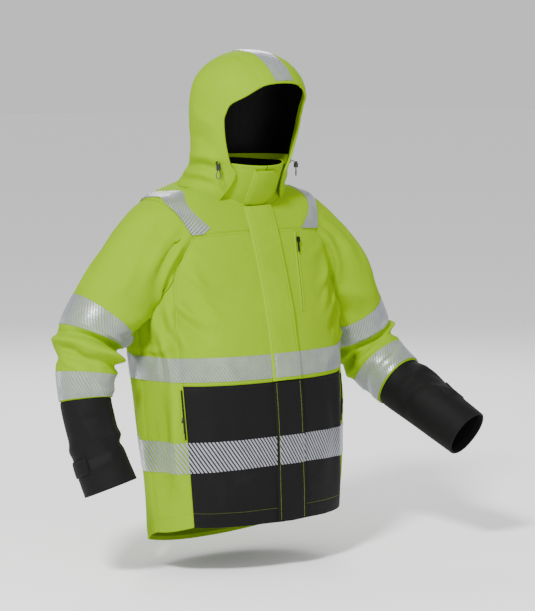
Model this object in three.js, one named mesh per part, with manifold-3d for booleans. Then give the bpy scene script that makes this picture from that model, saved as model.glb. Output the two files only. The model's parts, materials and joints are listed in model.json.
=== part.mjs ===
// Hooded high-visibility work coat: lined shell in separate panels, storm flap over a front zip,
// collar and hood, sleeves in two halves, retroreflective tape, pockets and cuff tabs.
// Millimetres, +Z up, the coat's front faces -Y and the wearer's right arm is at -X.
// Everything is worked out in a body frame (z = 0 at the front hem, X = 0 on the centre front)
// and the whole group is then moved so that the origin sits in the hanger loop inside the neck.
import * as THREE from "three";
import Module from "manifold-3d";

const wasm = await Module();
wasm.setup();
const { Manifold, Mesh: MMesh } = wasm;

// ---------------------------------------------------------------- driving dimensions
const SHELL = 4.0;          // padded outer shell thickness
const LINING_IN = 5.2;      // lining lies this far under the outer face
const LINING = 1.6;
const GAP = 0.4;            // clearance between pieces
const TAPE_OFF = 0.9, TAPE = 1.0;   // reflective tape over the shell
const FLAP_X0 = -31, FLAP_X1 = 41;  // storm flap: sewn edge and free edge
const FLAP_OFF = 4.6, FLAP = 3.2;
const WAIST_T = 0.2925;     // height of the waist seam, as a share of the loft rows
const YOKE_T = 0.695;       // height of the yoke seam
const SIDE_A = 60, BACK_A = 92;     // side seams, degrees round from centre front
const TAPE_LOW = [0.1385, 0.1945], TAPE_WAIST = [0.301, 0.367];
const HANGER = [0, 48, 699];        // body frame position of the hanger loop's underside
const SEG = 16;             // facets round a sleeve

// Torso loft rows: half width, front depth, back depth, centre y, roundness, z at front, sides, back
const TORSO = [
  [224, 139, 128, -31, 2.3, 0, -32, -66],
  [230, 140, 133, -27, 2.3, 80, 66, 50],
  [236, 146.2, 138, -17, 2.35, 180, 176, 172],
  [240, 148.1, 145, -5, 2.4, 290, 290, 290],
  [242, 145.1, 148, 3, 2.4, 360, 360, 360],
  [242, 135.5, 146, 8, 2.4, 430, 436, 440],
  [233, 114.8, 130, 15, 2.5, 531, 552, 562],
  [224, 100.1, 112, 16, 2.6, 578, 612, 622],
  [206, 89, 96, 14, 2.5, 603, 646, 655],
  [165, 77.3, 88, 8, 2.4, 618, 660, 676],
  [118, 62, 80, 0, 2.3, 631, 672, 692],
];
const HOOD = [
  [120, 62, 82, 0, 2.3, 632.5, 673.5, 693.5],
  [114, 72, 82, -8, 2.3, 665, 692, 706],
  [108, 84, 82, -14, 2.2, 700, 712, 722],
  [110, 100, 84, -22, 2.1, 742, 746, 750],
  [116, 118, 88, -27, 2.1, 790, 790, 790],
  [118, 130, 92, -30, 2.1, 830, 830, 826],
  [116, 128, 92, -32, 2.1, 866, 862, 856],
  [108, 112, 84, -33, 2.1, 897, 890, 884],
  [88, 84, 66, -34, 2.1, 922, 916, 908],
  [58, 54, 44, -36, 2.1, 938, 934, 930],
  [26, 24, 20, -37, 2.0, 944, 943, 942],
  [5, 5, 5, -37, 2.0, 945, 945, 945],
];
const COLLAR = [
  [103, 59, 66, 0, 2.2, 633.5, 676, 696],
  [100, 68, 70, -6, 2.1, 655, 692, 706],
  [97, 78, 73, -12, 2.0, 682, 706, 716],
  [96, 86, 74, -16, 2.0, 711, 722, 728],
];
// Side view of the hood's face opening, (y, z) down its edge
const FACE = [[-170, 889], [-154, 885], [-144, 876], [-127, 855], [-103, 838], [-92, 820], [-86, 803], [-80, 770],
  [-77, 733], [-75, 714], [-78, 699], [-72, 680], [-52, 652], [-44, 626]];
// Sleeve centre lines (body frame) and radii
const R_ARM = [[-140, -4, 588, 56], [-194, 0, 577, 73], [-233, 8, 539, 75.5], [-264, 22, 487, 74], [-302, 34, 432, 72], [-334, 42, 388, 68.5], [-352, 40, 336, 62.5],
  [-361, 34, 282, 54.5], [-364, 26, 242, 50.5], [-360, 6, 178, 50], [-355, -10, 134, 51.5], [-347, -27, 89, 53.5]];
const L_ARM = [[140, -4, 590, 56], [195, 2, 578, 74], [236, 6, 545, 76], [265, 3, 503, 75], [291, 0, 455, 74], [318, 0, 410, 72.5], [346, 2, 362, 71], [367, -4, 318, 68],
  [382, -41, 275, 63], [392, -86, 243, 59], [402, -130, 217, 56], [416, -190, 181, 53.5], [431, -248, 145, 52]];

// ---------------------------------------------------------------- small helpers
const D2R = Math.PI / 180;
const v3 = (a) => new THREE.Vector3(a[0], a[1], a[2]);
const add = (a, b, k = 1) => [a[0] + b[0] * k, a[1] + b[1] * k, a[2] + b[2] * k];
const sub = (a, b) => [a[0] - b[0], a[1] - b[1], a[2] - b[2]];
const cross = (a, b) => [a[1] * b[2] - a[2] * b[1], a[2] * b[0] - a[0] * b[2], a[0] * b[1] - a[1] * b[0]];
const dot = (a, b) => a[0] * b[0] + a[1] * b[1] + a[2] * b[2];
const unit = (a) => { const l = Math.hypot(...a) || 1; return [a[0] / l, a[1] / l, a[2] / l]; };
const lerp = (a, b, f) => a + (b - a) * f;
const sgn = (x) => (x < 0 ? -1 : 1);

// Catmull-Rom interpolation down a table of rows, t from 0 to 1
function rowAt(tab, t) {
  const m = tab.length, s = Math.min(Math.max(t, 0), 1) * (m - 1), i = Math.min(Math.floor(s), m - 2), f = s - i;
  const g = (k) => (k < 0 ? tab[0].map((v, j) => 2 * v - tab[1][j]) : k >= m ? tab[m - 1].map((v, j) => 2 * v - tab[m - 2][j]) : tab[k]);
  const [a, b, c, d] = [g(i - 1), g(i), g(i + 1), g(i + 2)];
  return b.map((_, j) => 0.5 * (2 * b[j] + (-a[j] + c[j]) * f + (2 * a[j] - 5 * b[j] + 4 * c[j] - d[j]) * f * f + (-a[j] + 3 * b[j] - 3 * c[j] + d[j]) * f ** 3));
}
function ringPoint(row, th) {
  const [A, Bf, Bb, cy, n, zf, zs, zb] = row, c = Math.cos(th), s = Math.sin(th), e = 2 / n;
  const X = A * sgn(s) * Math.abs(s) ** e, fy = sgn(c) * Math.abs(c) ** e, w = c * c;
  return c >= 0 ? [X, cy - Bf * fy, zs + (zf - zs) * w] : [X, cy - Bb * fy, zs + (zb - zs) * w];
}
const loft = (tab) => (th, t) => ringPoint(rowAt(tab, t), th);
// outward normal of a surface S(u, v), u running round and v running up
function normalOf(S, u, v, du = 0.02, dv = 0.01) {
  const a = sub(S(u + du, v), S(u - du, v));
  const v0 = Math.max(v - dv, 0), v1 = Math.min(v + dv, 1);
  const b = sub(S(u, v1), S(u, v0));
  return unit(cross(a, b));
}
const offset = (S, d) => (u, v) => add(S(u, v), normalOf(S, u, v), d);

const torso = loft(TORSO), hood = loft(HOOD), collar = loft(COLLAR);
// angle round the torso at a given distance X from the centre line, on the front
const thAtX = (x, t) => { const r = rowAt(TORSO, t); return Math.asin(sgn(x) * Math.min(Math.abs(x) / r[0], 1) ** (r[4] / 2)); };
const front = (x, t) => torso(thAtX(x, t), t);
// t of the torso front at height z (centre front)
function tAtZ(z) { let a = 0, b = 1; for (let i = 0; i < 40; i++) { const m = (a + b) / 2; if (rowAt(TORSO, m)[5] < z) a = m; else b = m; } return (a + b) / 2; }

const T_STOPS = [0, 0.066, 0.1385, 0.1945, 0.2925, 0.367, 0.45, 0.53, 0.6, 0.65, 0.695, 0.74, 0.79, 0.84, 0.9, 0.95, 1];
const A_STOPS = [...Array.from({ length: 73 }, (_, i) => (i - 36) * 12).filter((a) => ![-264, -96, 96, 264].includes(a)), -268, -92, 92, 268].sort((a, b) => a - b);
function stops(a, b, list) {
  const out = [a];
  for (const s of list) if (s > a + 0.012 * (list[list.length - 1] - list[0]) && s < b - 0.012 * (list[list.length - 1] - list[0])) out.push(s);
  out.push(b);
  return out;
}
function angles(a, b) { return [a, ...A_STOPS.filter((s) => s > a + 3 && s < b - 3), b].map((x) => x * D2R); }

// raw closed shell between two offset sheets over the grid us x vs
function sheet(S, us, vs, d0, d1, periodic = false) {
  const pos = [], idx = [], nu = us.length, nv = vs.length;
  for (const d of [d1, d0]) for (const v of vs) for (const u of us) pos.push(...(typeof d === "function" ? offset(S, d(u, v))(u, v) : offset(S, d)(u, v)));
  const id = (k, j, i) => k * nu * nv + j * nu + (i % nu);
  const quad = (a, b, c, d) => idx.push(a, b, c, a, c, d);
  const nc = periodic ? nu : nu - 1;
  for (let j = 0; j < nv - 1; j++) for (let i = 0; i < nc; i++) {
    quad(id(0, j, i), id(0, j, i + 1), id(0, j + 1, i + 1), id(0, j + 1, i));
    quad(id(1, j, i), id(1, j + 1, i), id(1, j + 1, i + 1), id(1, j, i + 1));
  }
  for (let i = 0; i < nc; i++) {
    quad(id(0, 0, i), id(1, 0, i), id(1, 0, i + 1), id(0, 0, i + 1));
    quad(id(0, nv - 1, i), id(0, nv - 1, i + 1), id(1, nv - 1, i + 1), id(1, nv - 1, i));
  }
  if (!periodic) for (let j = 0; j < nv - 1; j++) {
    quad(id(0, j, 0), id(0, j + 1, 0), id(1, j + 1, 0), id(1, j, 0));
    quad(id(0, j, nu - 1), id(1, j, nu - 1), id(1, j + 1, nu - 1), id(0, j + 1, nu - 1));
  }
  return { pos, idx };
}
// closed solid filling a loft (rings plus flat-fan ends)
function solidLoft(S, us, vs, d) {
  const pos = [], idx = [], nu = us.length, nv = vs.length, O = offset(S, d);
  for (const v of vs) for (const u of us) pos.push(...O(u, v));
  const cen = (j) => { const c = [0, 0, 0]; for (let i = 0; i < nu; i++) for (let k = 0; k < 3; k++) c[k] += pos[(j * nu + i) * 3 + k] / nu; return c; };
  pos.push(...cen(0), ...cen(nv - 1));
  const lo = nu * nv, hi = lo + 1;
  for (let j = 0; j < nv - 1; j++) for (let i = 0; i < nu; i++) {
    const a = j * nu + i, b = j * nu + (i + 1) % nu, c = b + nu, e = a + nu;
    idx.push(a, b, c, a, c, e);
  }
  for (let i = 0; i < nu; i++) { idx.push(lo, (i + 1) % nu, i); idx.push(hi, (nv - 1) * nu + i, (nv - 1) * nu + (i + 1) % nu); }
  return { pos, idx };
}
function toManifold({ pos, idx }) {
  let m = new Manifold(new MMesh({ numProp: 3, vertProperties: new Float32Array(pos), triVerts: new Uint32Array(idx) }));
  if (m.volume() < 0) {
    const t = new Uint32Array(idx);
    for (let i = 0; i < t.length; i += 3) [t[i + 1], t[i + 2]] = [t[i + 2], t[i + 1]];
    m = new Manifold(new MMesh({ numProp: 3, vertProperties: new Float32Array(pos), triVerts: t }));
  }
  return m;
}
const fromGeometry = (g) => {
  const n = g.index ? g.toNonIndexed() : g, p = n.getAttribute("position").array, key = new Map(), pos = [], idx = [];
  for (let i = 0; i < p.length; i += 3) {
    const k = [p[i], p[i + 1], p[i + 2]].map((x) => Math.round(x * 1e4)).join();
    if (!key.has(k)) { key.set(k, pos.length / 3); pos.push(p[i], p[i + 1], p[i + 2]); }
    idx.push(key.get(k));
  }
  return toManifold({ pos, idx });
};
const box = (lo, hi) => fromGeometry(new THREE.BoxGeometry(hi[0] - lo[0], hi[1] - lo[1], hi[2] - lo[2]).translate((lo[0] + hi[0]) / 2, (lo[1] + hi[1]) / 2, (lo[2] + hi[2]) / 2));
const biggest = (m) => { const parts = m.decompose(); let b = parts[0]; for (const p of parts) if (p.volume() > b.volume()) b = p; return b; };
function toGeometry(m) {
  const mm = m.getMesh(), g = new THREE.BufferGeometry();
  g.setAttribute("position", new THREE.BufferAttribute(new Float32Array(mm.vertProperties), 3));
  g.setIndex(new THREE.BufferAttribute(new Uint32Array(mm.triVerts), 1));
  const flat = g.toNonIndexed(); flat.computeVertexNormals();
  return flat;
}
// box with its own axes: centre, half sizes along three unit directions
function orientedBox(c, ax, ay, az, hx, hy, hz) {
  const g = new THREE.BoxGeometry(hx * 2, hy * 2, hz * 2), m = new THREE.Matrix4();
  m.makeBasis(v3(ax), v3(ay), v3(az)); m.setPosition(...c);
  return fromGeometry(g.applyMatrix4(m));
}
const hull = (m) => m.hull();

// ---------------------------------------------------------------- materials
const LIME = [0x9ee012, 0.82], BLACK = [0x1b1c1b, 0.86], DARK = [0x0b0b0c, 0.9], SILVER = [0xb4b6ba, 0.4], PLASTIC = [0x111213, 0.42], METAL = [0x2a2b2c, 0.35];
const group = new THREE.Group();
group.name = "hooded_work_coat";
const built = {};
function part(name, m, [color, roughness], metalness = 0) {
  const one = biggest(m);
  built[name] = one;
  const mesh = new THREE.Mesh(toGeometry(one), new THREE.MeshStandardMaterial({ color, roughness, metalness }));
  mesh.name = name;
  group.add(mesh);
  return one;
}

// ---------------------------------------------------------------- sleeves' tubes (used to cut the armholes too)
function armSurface(rows) {
  const P = rows.map((r) => r.slice(0, 3)), R = rows.map((r) => [r[3]]);
  const path = (v) => rowAt(P, v), rad = (v) => rowAt(R, v)[0];
  const tan = (v) => unit(sub(path(Math.min(v + 0.04, 1)), path(Math.max(v - 0.04, 0))));
  // frame: one axis stays in the plane of X and Z, so seams run straight
  const frame = (v) => { const t = tan(v), b = unit(cross(t, [0, 1, 0.001])), a = unit(cross(b, t)); return [t, a, b]; };
  const S = (u, v) => { const [, a, b] = frame(v), r = rad(v), p = path(v); return add(add(p, a, -Math.cos(u) * r), b, Math.sin(u) * r); };
  return { S, path, rad, frame };
}
const ARMS = { right: armSurface(R_ARM), left: armSurface(L_ARM) };
const ringU = Array.from({ length: SEG }, (_, i) => (i / SEG) * 2 * Math.PI);
const range = (a, b, n) => Array.from({ length: n + 1 }, (_, i) => lerp(a, b, i / n));
// radial offset of a tube: exact along the section's own radius
function tubeShell(arm, v0, v1, n, d0, d1) {
  const O = (d) => (u, v) => { const [, a, b] = arm.frame(v), r = arm.rad(v) + d, p = arm.path(v); return add(add(p, a, -Math.cos(u) * r), b, Math.sin(u) * r); };
  const pos = [], idx = [], vs = range(v0, v1, n), nu = SEG, nv = vs.length;
  for (const d of [d1, d0]) for (const v of vs) for (const u of ringU) pos.push(...O(d)(u, v));
  const id = (k, j, i) => k * nu * nv + j * nu + (i % nu), quad = (a, b, c, d) => idx.push(a, b, c, a, c, d);
  for (let j = 0; j < nv - 1; j++) for (let i = 0; i < nu; i++) {
    quad(id(0, j, i), id(0, j, i + 1), id(0, j + 1, i + 1), id(0, j + 1, i));
    quad(id(1, j, i), id(1, j + 1, i), id(1, j + 1, i + 1), id(1, j, i + 1));
  }
  for (let i = 0; i < nu; i++) {
    quad(id(0, 0, i), id(1, 0, i), id(1, 0, i + 1), id(0, 0, i + 1));
    quad(id(0, nv - 1, i), id(0, nv - 1, i + 1), id(1, nv - 1, i + 1), id(1, nv - 1, i));
  }
  return toManifold({ pos, idx });
}
function tubePatch(arm, us, vs, d0, d1) {
  const pt = (u, v, d) => { const [, a, b] = arm.frame(v), r = arm.rad(v) + d, p = arm.path(v); return add(add(p, a, -Math.cos(u) * r), b, Math.sin(u) * r); };
  const pos = [], idx = [], nu = us.length, nv = vs.length;
  for (const d of [d1, d0]) for (const v of vs) for (const u of us) pos.push(...pt(u, v, d));
  const id = (k, j, i) => k * nu * nv + j * nu + i, quad = (a, b, c, d) => idx.push(a, b, c, a, c, d);
  for (let j = 0; j < nv - 1; j++) for (let i = 0; i < nu - 1; i++) {
    quad(id(0, j, i), id(0, j, i + 1), id(0, j + 1, i + 1), id(0, j + 1, i));
    quad(id(1, j, i), id(1, j + 1, i), id(1, j + 1, i + 1), id(1, j, i + 1));
  }
  for (let i = 0; i < nu - 1; i++) { quad(id(0, 0, i), id(1, 0, i), id(1, 0, i + 1), id(0, 0, i + 1)); quad(id(0, nv - 1, i), id(0, nv - 1, i + 1), id(1, nv - 1, i + 1), id(1, nv - 1, i)); }
  for (let j = 0; j < nv - 1; j++) { quad(id(0, j, 0), id(0, j + 1, 0), id(1, j + 1, 0), id(1, j, 0)); quad(id(0, j, nu - 1), id(1, j, nu - 1), id(1, j + 1, nu - 1), id(0, j + 1, nu - 1)); }
  return toManifold({ pos, idx });
}
function tubeSolid(arm, v0, v1, n, d) {
  const S = (u, v) => { const [, a, b] = arm.frame(v), r = arm.rad(v) + d, p = arm.path(v); return add(add(p, a, -Math.cos(u) * r), b, Math.sin(u) * r); };
  return toManifold(solidLoft(S, ringU, range(v0, v1, n), 0));
}
const ringT = Array.from({ length: 30 }, (_, i) => (i / 30) * 2 * Math.PI);
const torsoSolid = (d) => toManifold(solidLoft(torso, ringT, T_STOPS, d));
const torsoOuter = torsoSolid(GAP + 0.9);
const armholes = {};
for (const side of ["right", "left"]) armholes[side] = tubeSolid(ARMS[side], 0, 0.36, 6, -SHELL - 1.2);
const bothArmholes = armholes.right.add(armholes.left);

// ---------------------------------------------------------------- torso panels
const panel = (a0, a1, t0, t1, d0 = -SHELL, d1 = 0) => toManifold(sheet(torso, angles(a0, a1), stops(t0, t1, T_STOPS), d0, d1));
const SEAM_T = 0.0012, SEAM_A = 0.12;
part("back_panel", panel(BACK_A + SEAM_A, 360 - BACK_A - SEAM_A, 0, YOKE_T - SEAM_T).subtract(bothArmholes), LIME);
part("back_yoke", panel(BACK_A + SEAM_A, 360 - BACK_A - SEAM_A, YOKE_T + SEAM_T, 1).subtract(bothArmholes), LIME);
for (const [side, s] of [["right", -1], ["left", 1]]) {
  const span = (a, b, ...r) => (s > 0 ? panel(a, b, ...r) : panel(-b, -a, ...r));
  const cut = armholes[side];
  part(`front_${side}_lower_panel`, span(2, SIDE_A - SEAM_A, 0, WAIST_T - SEAM_T), BLACK);
  part(`front_${side}_panel`, span(2, SIDE_A - SEAM_A, WAIST_T + SEAM_T, YOKE_T - SEAM_T).subtract(cut), LIME);
  part(`front_${side}_yoke`, span(2, BACK_A - SEAM_A, YOKE_T + SEAM_T, 1).subtract(cut), LIME);
  part(`${side}_side_panel`, span(SIDE_A + SEAM_A, BACK_A - SEAM_A, 0, YOKE_T - SEAM_T).subtract(cut), LIME);
}
// insulated lining and the hem facing under it
part("body_lining", toManifold(sheet(torso, angles(4, 356), stops(0.07, 0.94, T_STOPS), -LINING_IN - LINING, -LINING_IN)).subtract(bothArmholes), DARK);
part("hem_facing", toManifold(sheet(torso, angles(4, 356), [0.004, 0.035, 0.066], -LINING_IN - LINING, -LINING_IN)), LIME);

// reflective tape round the body, open under the storm flap's edge
for (const [name, [t0, t1]] of [["lower_body_tape", TAPE_LOW], ["waist_body_tape", TAPE_WAIST]])
  part(name, toManifold(sheet(torso, angles(3.4, 356.6), [t0, (t0 + t1) / 2, t1], TAPE_OFF, TAPE_OFF + TAPE)), SILVER, 0.1);
// tape over each shoulder, from the front yoke seam to the back yoke seam
const tapeCut = {};
for (const [side, s] of [["right", -1], ["left", 1]]) {
  // path (angle, t) of the two edges
  const inner = [[24.6, 0.702], [38, 0.765], [55, 0.845], [75.7, 0.927], [92, 0.93], [118, 0.87], [140, 0.79], [152, 0.70]];
  const outer = [[44.6, 0.702], [53, 0.735], [62, 0.771], [86, 0.835], [96, 0.835], [110, 0.80], [122, 0.75], [130, 0.70]];
  const S = (u, v) => { const p = rowAt(inner, v), q = rowAt(outer, v), f = s > 0 ? u : 1 - u; return torso(s * lerp(p[0], q[0], f) * D2R, lerp(p[1], q[1], f)); };
  tapeCut[side] = toManifold(sheet(S, [-0.2, 0, 0.25, 0.5, 0.75, 1, 1.2], [-0.04, ...range(0, 1, 14), 1.04], -3, TAPE_OFF + 0.4 + TAPE + 2.2))
    .add(toManifold(sheet(S, range(0, 1, 4), range(0, 1, 14), TAPE_OFF, TAPE_OFF + TAPE + 1)));
  part(`${side}_shoulder_tape`, toManifold(sheet(S, range(0, 1, 4), range(0, 1, 14), TAPE_OFF + 0.4, TAPE_OFF + 0.4 + TAPE)), SILVER, 0.1);
}

// ---------------------------------------------------------------- front zip and storm flap
for (const [side, a, b] of [["right", 358.4, 359.87], ["left", 0.13, 1.6]])
  part(`front_zip_${side}_tape`, toManifold(sheet(torso, [a * D2R, b * D2R], stops(0.03, 0.995, T_STOPS), -SHELL + 0.6, -SHELL + 2.2)), DARK);
const flapSheet = (x0, x1, t0, t1, d0, d1, nx = 4) => toManifold(sheet(front, range(x0, x1, nx), stops(t0, t1, T_STOPS), d0, d1));
part("storm_flap_upper", flapSheet(FLAP_X0, FLAP_X1, WAIST_T + SEAM_T, 0.955, FLAP_OFF, FLAP_OFF + FLAP, 4), LIME);
part("storm_flap_lower", flapSheet(FLAP_X0, FLAP_X1, 0.0, WAIST_T - SEAM_T, FLAP_OFF, FLAP_OFF + FLAP, 4), BLACK);
part("flap_waist_tape", flapSheet(FLAP_X0 + 0.5, FLAP_X1 - 0.5, ...TAPE_WAIST, FLAP_OFF + FLAP + 0.5, FLAP_OFF + FLAP + 1.4), SILVER, 0.1);
part("flap_lower_tape", flapSheet(FLAP_X0 + 0.5, FLAP_X1 - 0.5, ...TAPE_LOW, FLAP_OFF + FLAP + 0.5, FLAP_OFF + FLAP + 1.4), SILVER, 0.1);

// ---------------------------------------------------------------- collar
const vC = [0, 0.33, 0.66, 1], ringC = Array.from({ length: 24 }, (_, i) => (i / 24) * 2 * Math.PI);
const slit = box([-0.7, -300, 500], [0.7, -20, 900]);
const ringBand = (S, d0, d1, vs, ring) => toManifold(sheet(S, ring, vs, d0, d1, true));
part("collar_shell", ringBand(collar, -2.4, 0, vC, ringC).subtract(slit), LIME);
part("collar_lining", ringBand(collar, -4.6, -3.0, vC, ringC).subtract(slit), DARK);
// chin flap: sewn at its wearer's-right edge, rounded free end, closing the collar over the zip
{
  const n = 6, S = (u, v) => { const x = lerp(-30, 40, u), r = rowAt(COLLAR, v), s = Math.asin(sgn(x) * Math.min(Math.abs(x) / r[0], 1) ** (r[4] / 2)); return collar(s, v); };
  let m = toManifold(sheet(S, range(0, 1, 7), range(0.15, 0.93, 5), 2.2, 4.6));
  // round off the two free corners
  const shape = new THREE.Shape();
  shape.moveTo(-40, 600); shape.lineTo(18, 600); shape.absarc(18, 654, 26, -Math.PI / 2, 0, false); shape.absarc(18, 682, 26, 0, Math.PI / 2, false); shape.lineTo(-40, 720); shape.closePath();
  const g = new THREE.ExtrudeGeometry(shape, { depth: 200, bevelEnabled: false, curveSegments: n }).rotateX(Math.PI / 2).translate(0, 0, 0);
  part("chin_flap", m.intersect(fromGeometry(g)), LIME);
}
// hanger loop: a flat strap bridging two stitched feet on the inside of the neck
{
  const [x, y, z] = HANGER, w = 34, t = 1.6, h = 4;
  let m = box([x - w, y - 4, z], [x + w, y + 4, z + t]);
  m = m.add(box([x - w, y - 4, z - 0.0], [x - w + 8, y + 4 + h, z + t])).add(box([x + w - 8, y - 4, z], [x + w, y + 4 + h, z + t]));
  part("hanger_loop", m, BLACK);
}

// ---------------------------------------------------------------- hood
const ringH = Array.from({ length: 26 }, (_, i) => (i / 26) * 2 * Math.PI);
const vH = [0, 0.1, 0.2, 0.32, 0.45, 0.56, 0.65, 0.74, 0.82, 0.9, 1];
const dome = (d) => toManifold(solidLoft(hood, ringH, vH, d));
const prismYZ = (pts, x0, x1) => {
  const s = new THREE.Shape(); pts.forEach(([y, z], i) => (i ? s.lineTo(y, z) : s.moveTo(y, z))); s.closePath();
  const g = new THREE.ExtrudeGeometry(s, { depth: x1 - x0, bevelEnabled: false });
  const m = new THREE.Matrix4().makeBasis(v3([0, 1, 0]), v3([0, 0, 1]), v3([1, 0, 0])); m.setPosition(x0, 0, 0);
  return fromGeometry(g.applyMatrix4(m));
};
const faceCut = prismYZ([[-260, 889], ...FACE, [-44, 560], [-260, 560]], -180, 180);
const facingBack = FACE.map(([y, z], i) => (i < 2 ? [y + 26, z - 2] : i < 5 ? [y + 24, z + 20] : [y + 30, z + 4]));
const facingCut = prismYZ([[-260, 912], [-128, 912], ...facingBack.slice(2), [-14, 560], [-260, 560]], -180, 180);
const d0 = dome(0), d1 = dome(-3.0), d2 = dome(-3.6), d3 = dome(-5.4);
const lowerTrim = 0;
const skin = d0.subtract(d1).subtract(faceCut);
const floorCut = torsoSolid(GAP);
const SIDE_X = 55;
// the hood is sewn on by a band that stands round the collar; the panels above it tilt back
const bandTop = (z) => box([-400, -400, 500], [400, 400, z]);
const BAND_Z = 733;
part("hood_centre_panel", skin.intersect(box([-SIDE_X + 0.2, -300, BAND_Z + 0.2], [SIDE_X - 0.2, 300, 1000])), LIME);
part("hood_right_panel", skin.intersect(box([-300, -300, BAND_Z + 0.2], [-SIDE_X - 0.2, 300, 1000])), LIME);
part("hood_left_panel", skin.intersect(box([SIDE_X + 0.2, -300, BAND_Z + 0.2], [300, 300, 1000])), LIME);
part("hood_neck_band", skin.intersect(bandTop(BAND_Z - 0.2)).subtract(floorCut), LIME);
const inner = d2.subtract(d3);
part("hood_lining", inner.subtract(facingCut).subtract(bandTop(BAND_Z + 0.2)), DARK);
part("hood_face_facing", inner.intersect(facingCut).subtract(faceCut).subtract(bandTop(BAND_Z + 0.2)), LIME);
part("hood_crown_tape", dome(1.9).subtract(dome(0.9)).intersect(box([-24, -300, 745], [24, 300, 1000])).subtract(faceCut), SILVER, 0.1);

// face-opening drawcord locks: barrel with a sprung button on top
for (const [side, s] of [["right", -1], ["left", 1]]) {
  const p = [s * 99, -66, 711], o = unit([s * 0.62, -0.78, 0]);
  const c = add(p, o, 9.2);
  // barrel: a cup that the plunger slides down into
  const prof = [[0, -4.5], [4.6, -4.5], [4.6, 4.5], [3.5, 4.5], [3.5, -1], [0, -1]].map(([x, y]) => new THREE.Vector2(x, y));
  part(`${side}_cord_lock`, fromGeometry(new THREE.LatheGeometry(prof, 14).rotateX(Math.PI / 2).translate(...c)), PLASTIC);
  part(`${side}_cord_lock_button`, fromGeometry(new THREE.CylinderGeometry(3.2, 3.2, 6.4, 12).rotateX(Math.PI / 2).translate(c[0], c[1], c[2] + 5)), PLASTIC);
}

// ---------------------------------------------------------------- zips on the pockets, with their sliders
function stripOn(pathFn, n, width, o0, o1) {
  // pathFn(v) -> [theta, t]; the strip runs along the path
  const vs = range(0, 1, n);
  return toManifold(sheet((u, v) => { const [th, t] = pathFn(1 - v); return torso(th + u, t); }, [-width, width], vs, o0, o1));
}
// the chest pocket opens by a slit on the wearer's left, a hand's length long
const chestPath = (v) => { const t = lerp(0.688, 0.485, v), x = lerp(97.5, 74, v); return [thAtX(x, t), t]; };
part("chest_pocket_zip", stripOn(chestPath, 6, 0.022, 0.9, 1.9), DARK);
// the lower pockets open down the side seam, between the waist seam and the lower tape
const pocketPath = (s) => (v) => [s * 61.6 * D2R, lerp(0.285, 0.2, v)];
// slider and its hanging pull, both set square to the straight line the slider runs along
function sliderAt(name, pathFn, v, va, vb, len, wid, thick, off, mat) {
  const along = unit(sub(torso(...pathFn(vb)), torso(...pathFn(va)))), c = torso(...pathFn(v)), n = normalOf(torso, ...pathFn(v));
  const side = unit(cross(n, along)), nn = unit(cross(along, side));
  part(name + "_slider", orientedBox(add(c, nn, off + thick / 2), side, along, nn, wid / 2, len / 2, thick / 2), mat, 0.4);
  // the pull starts just below the slider and lies against the cloth
  part(name + "_pull", orientedBox(add(add(c, nn, off + 0.9), along, len / 2 + 0.6 + 10), side, along, nn, 2.2, 10, 0.7), mat, 0.4);
}
sliderAt("chest_zip", chestPath, 0.22, 0.02, 0.8, 11, 7, 3.2, 5.0, METAL);
for (const [side, s] of [["right", -1], ["left", 1]]) {
  part(`${side}_pocket_zip`, stripOn(pocketPath(s), 6, 0.02, 0.9, 1.9), DARK);
}


// ---------------------------------------------------------------- sliders
{
  // front slider, parked at the top of the zip in the space under the flap
  const t = tAtZ(592), c = torso(0, t), n = normalOf(torso, 0, t), along = unit(sub(torso(0, t + 0.01), torso(0, t - 0.01)));
  const side = unit(cross(n, along)), nn = unit(cross(along, side));
  let m = orientedBox(add(c, nn, -SHELL + 2.2 + 1.3 + 1.6), side, along, nn, 5.2, 8, 1.6);
  part("front_zip_slider", m, METAL, 0.5);
}
sliderAt("right_pocket_zip", pocketPath(-1), 0.6, 0.02, 0.98, 11, 6.4, 3, 3.4, METAL);
sliderAt("left_pocket_zip", pocketPath(1), 0.6, 0.02, 0.98, 11, 6.4, 3, 3.4, METAL);

// ---------------------------------------------------------------- sleeves
const SLEEVE_V = {
  right: { elbow: 0.523, tape1: [0.386, 0.468], tape2: [0.59, 0.69], black: 0.6955, end: 1 },
  left: { elbow: 0.583, tape1: [0.4375, 0.525], tape2: [0.654, 0.746], black: 0.7505, end: 1 },
};
for (const side of ["right", "left"]) {
  const arm = ARMS[side], k = SLEEVE_V[side], e = 0.0022;
  part(`${side}_upper_sleeve`, tubeShell(arm, 0.0, k.elbow - e, 8, -SHELL, 0).subtract(torsoOuter).subtract(tapeCut[side]), LIME);
  part(`${side}_forearm_sleeve`, tubeShell(arm, k.elbow + e, k.black - 0.001, 3, -SHELL, 0), LIME);
  part(`${side}_cuff_sleeve`, tubeShell(arm, k.black + 0.001, k.end, 4, -SHELL, 0), BLACK);
  part(`${side}_upper_sleeve_tape`, tubeShell(arm, ...k.tape1, 3, TAPE_OFF + 0.6, TAPE_OFF + 0.6 + TAPE), SILVER, 0.1);
  part(`${side}_lower_sleeve_tape`, tubeShell(arm, ...k.tape2, 3, TAPE_OFF + 0.6, TAPE_OFF + 0.6 + TAPE), SILVER, 0.1);
}
// cuff tabs: short straps sewn near the back of the wrist, with a free end
for (const [side, u0, v0] of [["right", 292, 0.90], ["left", 60, 0.90]]) {
  const arm = ARMS[side];
  const s0 = { right: [u0 - 66, u0], left: [u0, u0 + 66] }[side];
  part(`${side}_cuff_tab`, tubePatch(arm, range(s0[0] * D2R, s0[1] * D2R, 5), [v0 - 0.032, v0, v0 + 0.032], 1.2, 3.2), BLACK);
}

group.position.set(-HANGER[0], -HANGER[1], -HANGER[2]);
group.updateMatrixWorld(true);
export default group;
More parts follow.
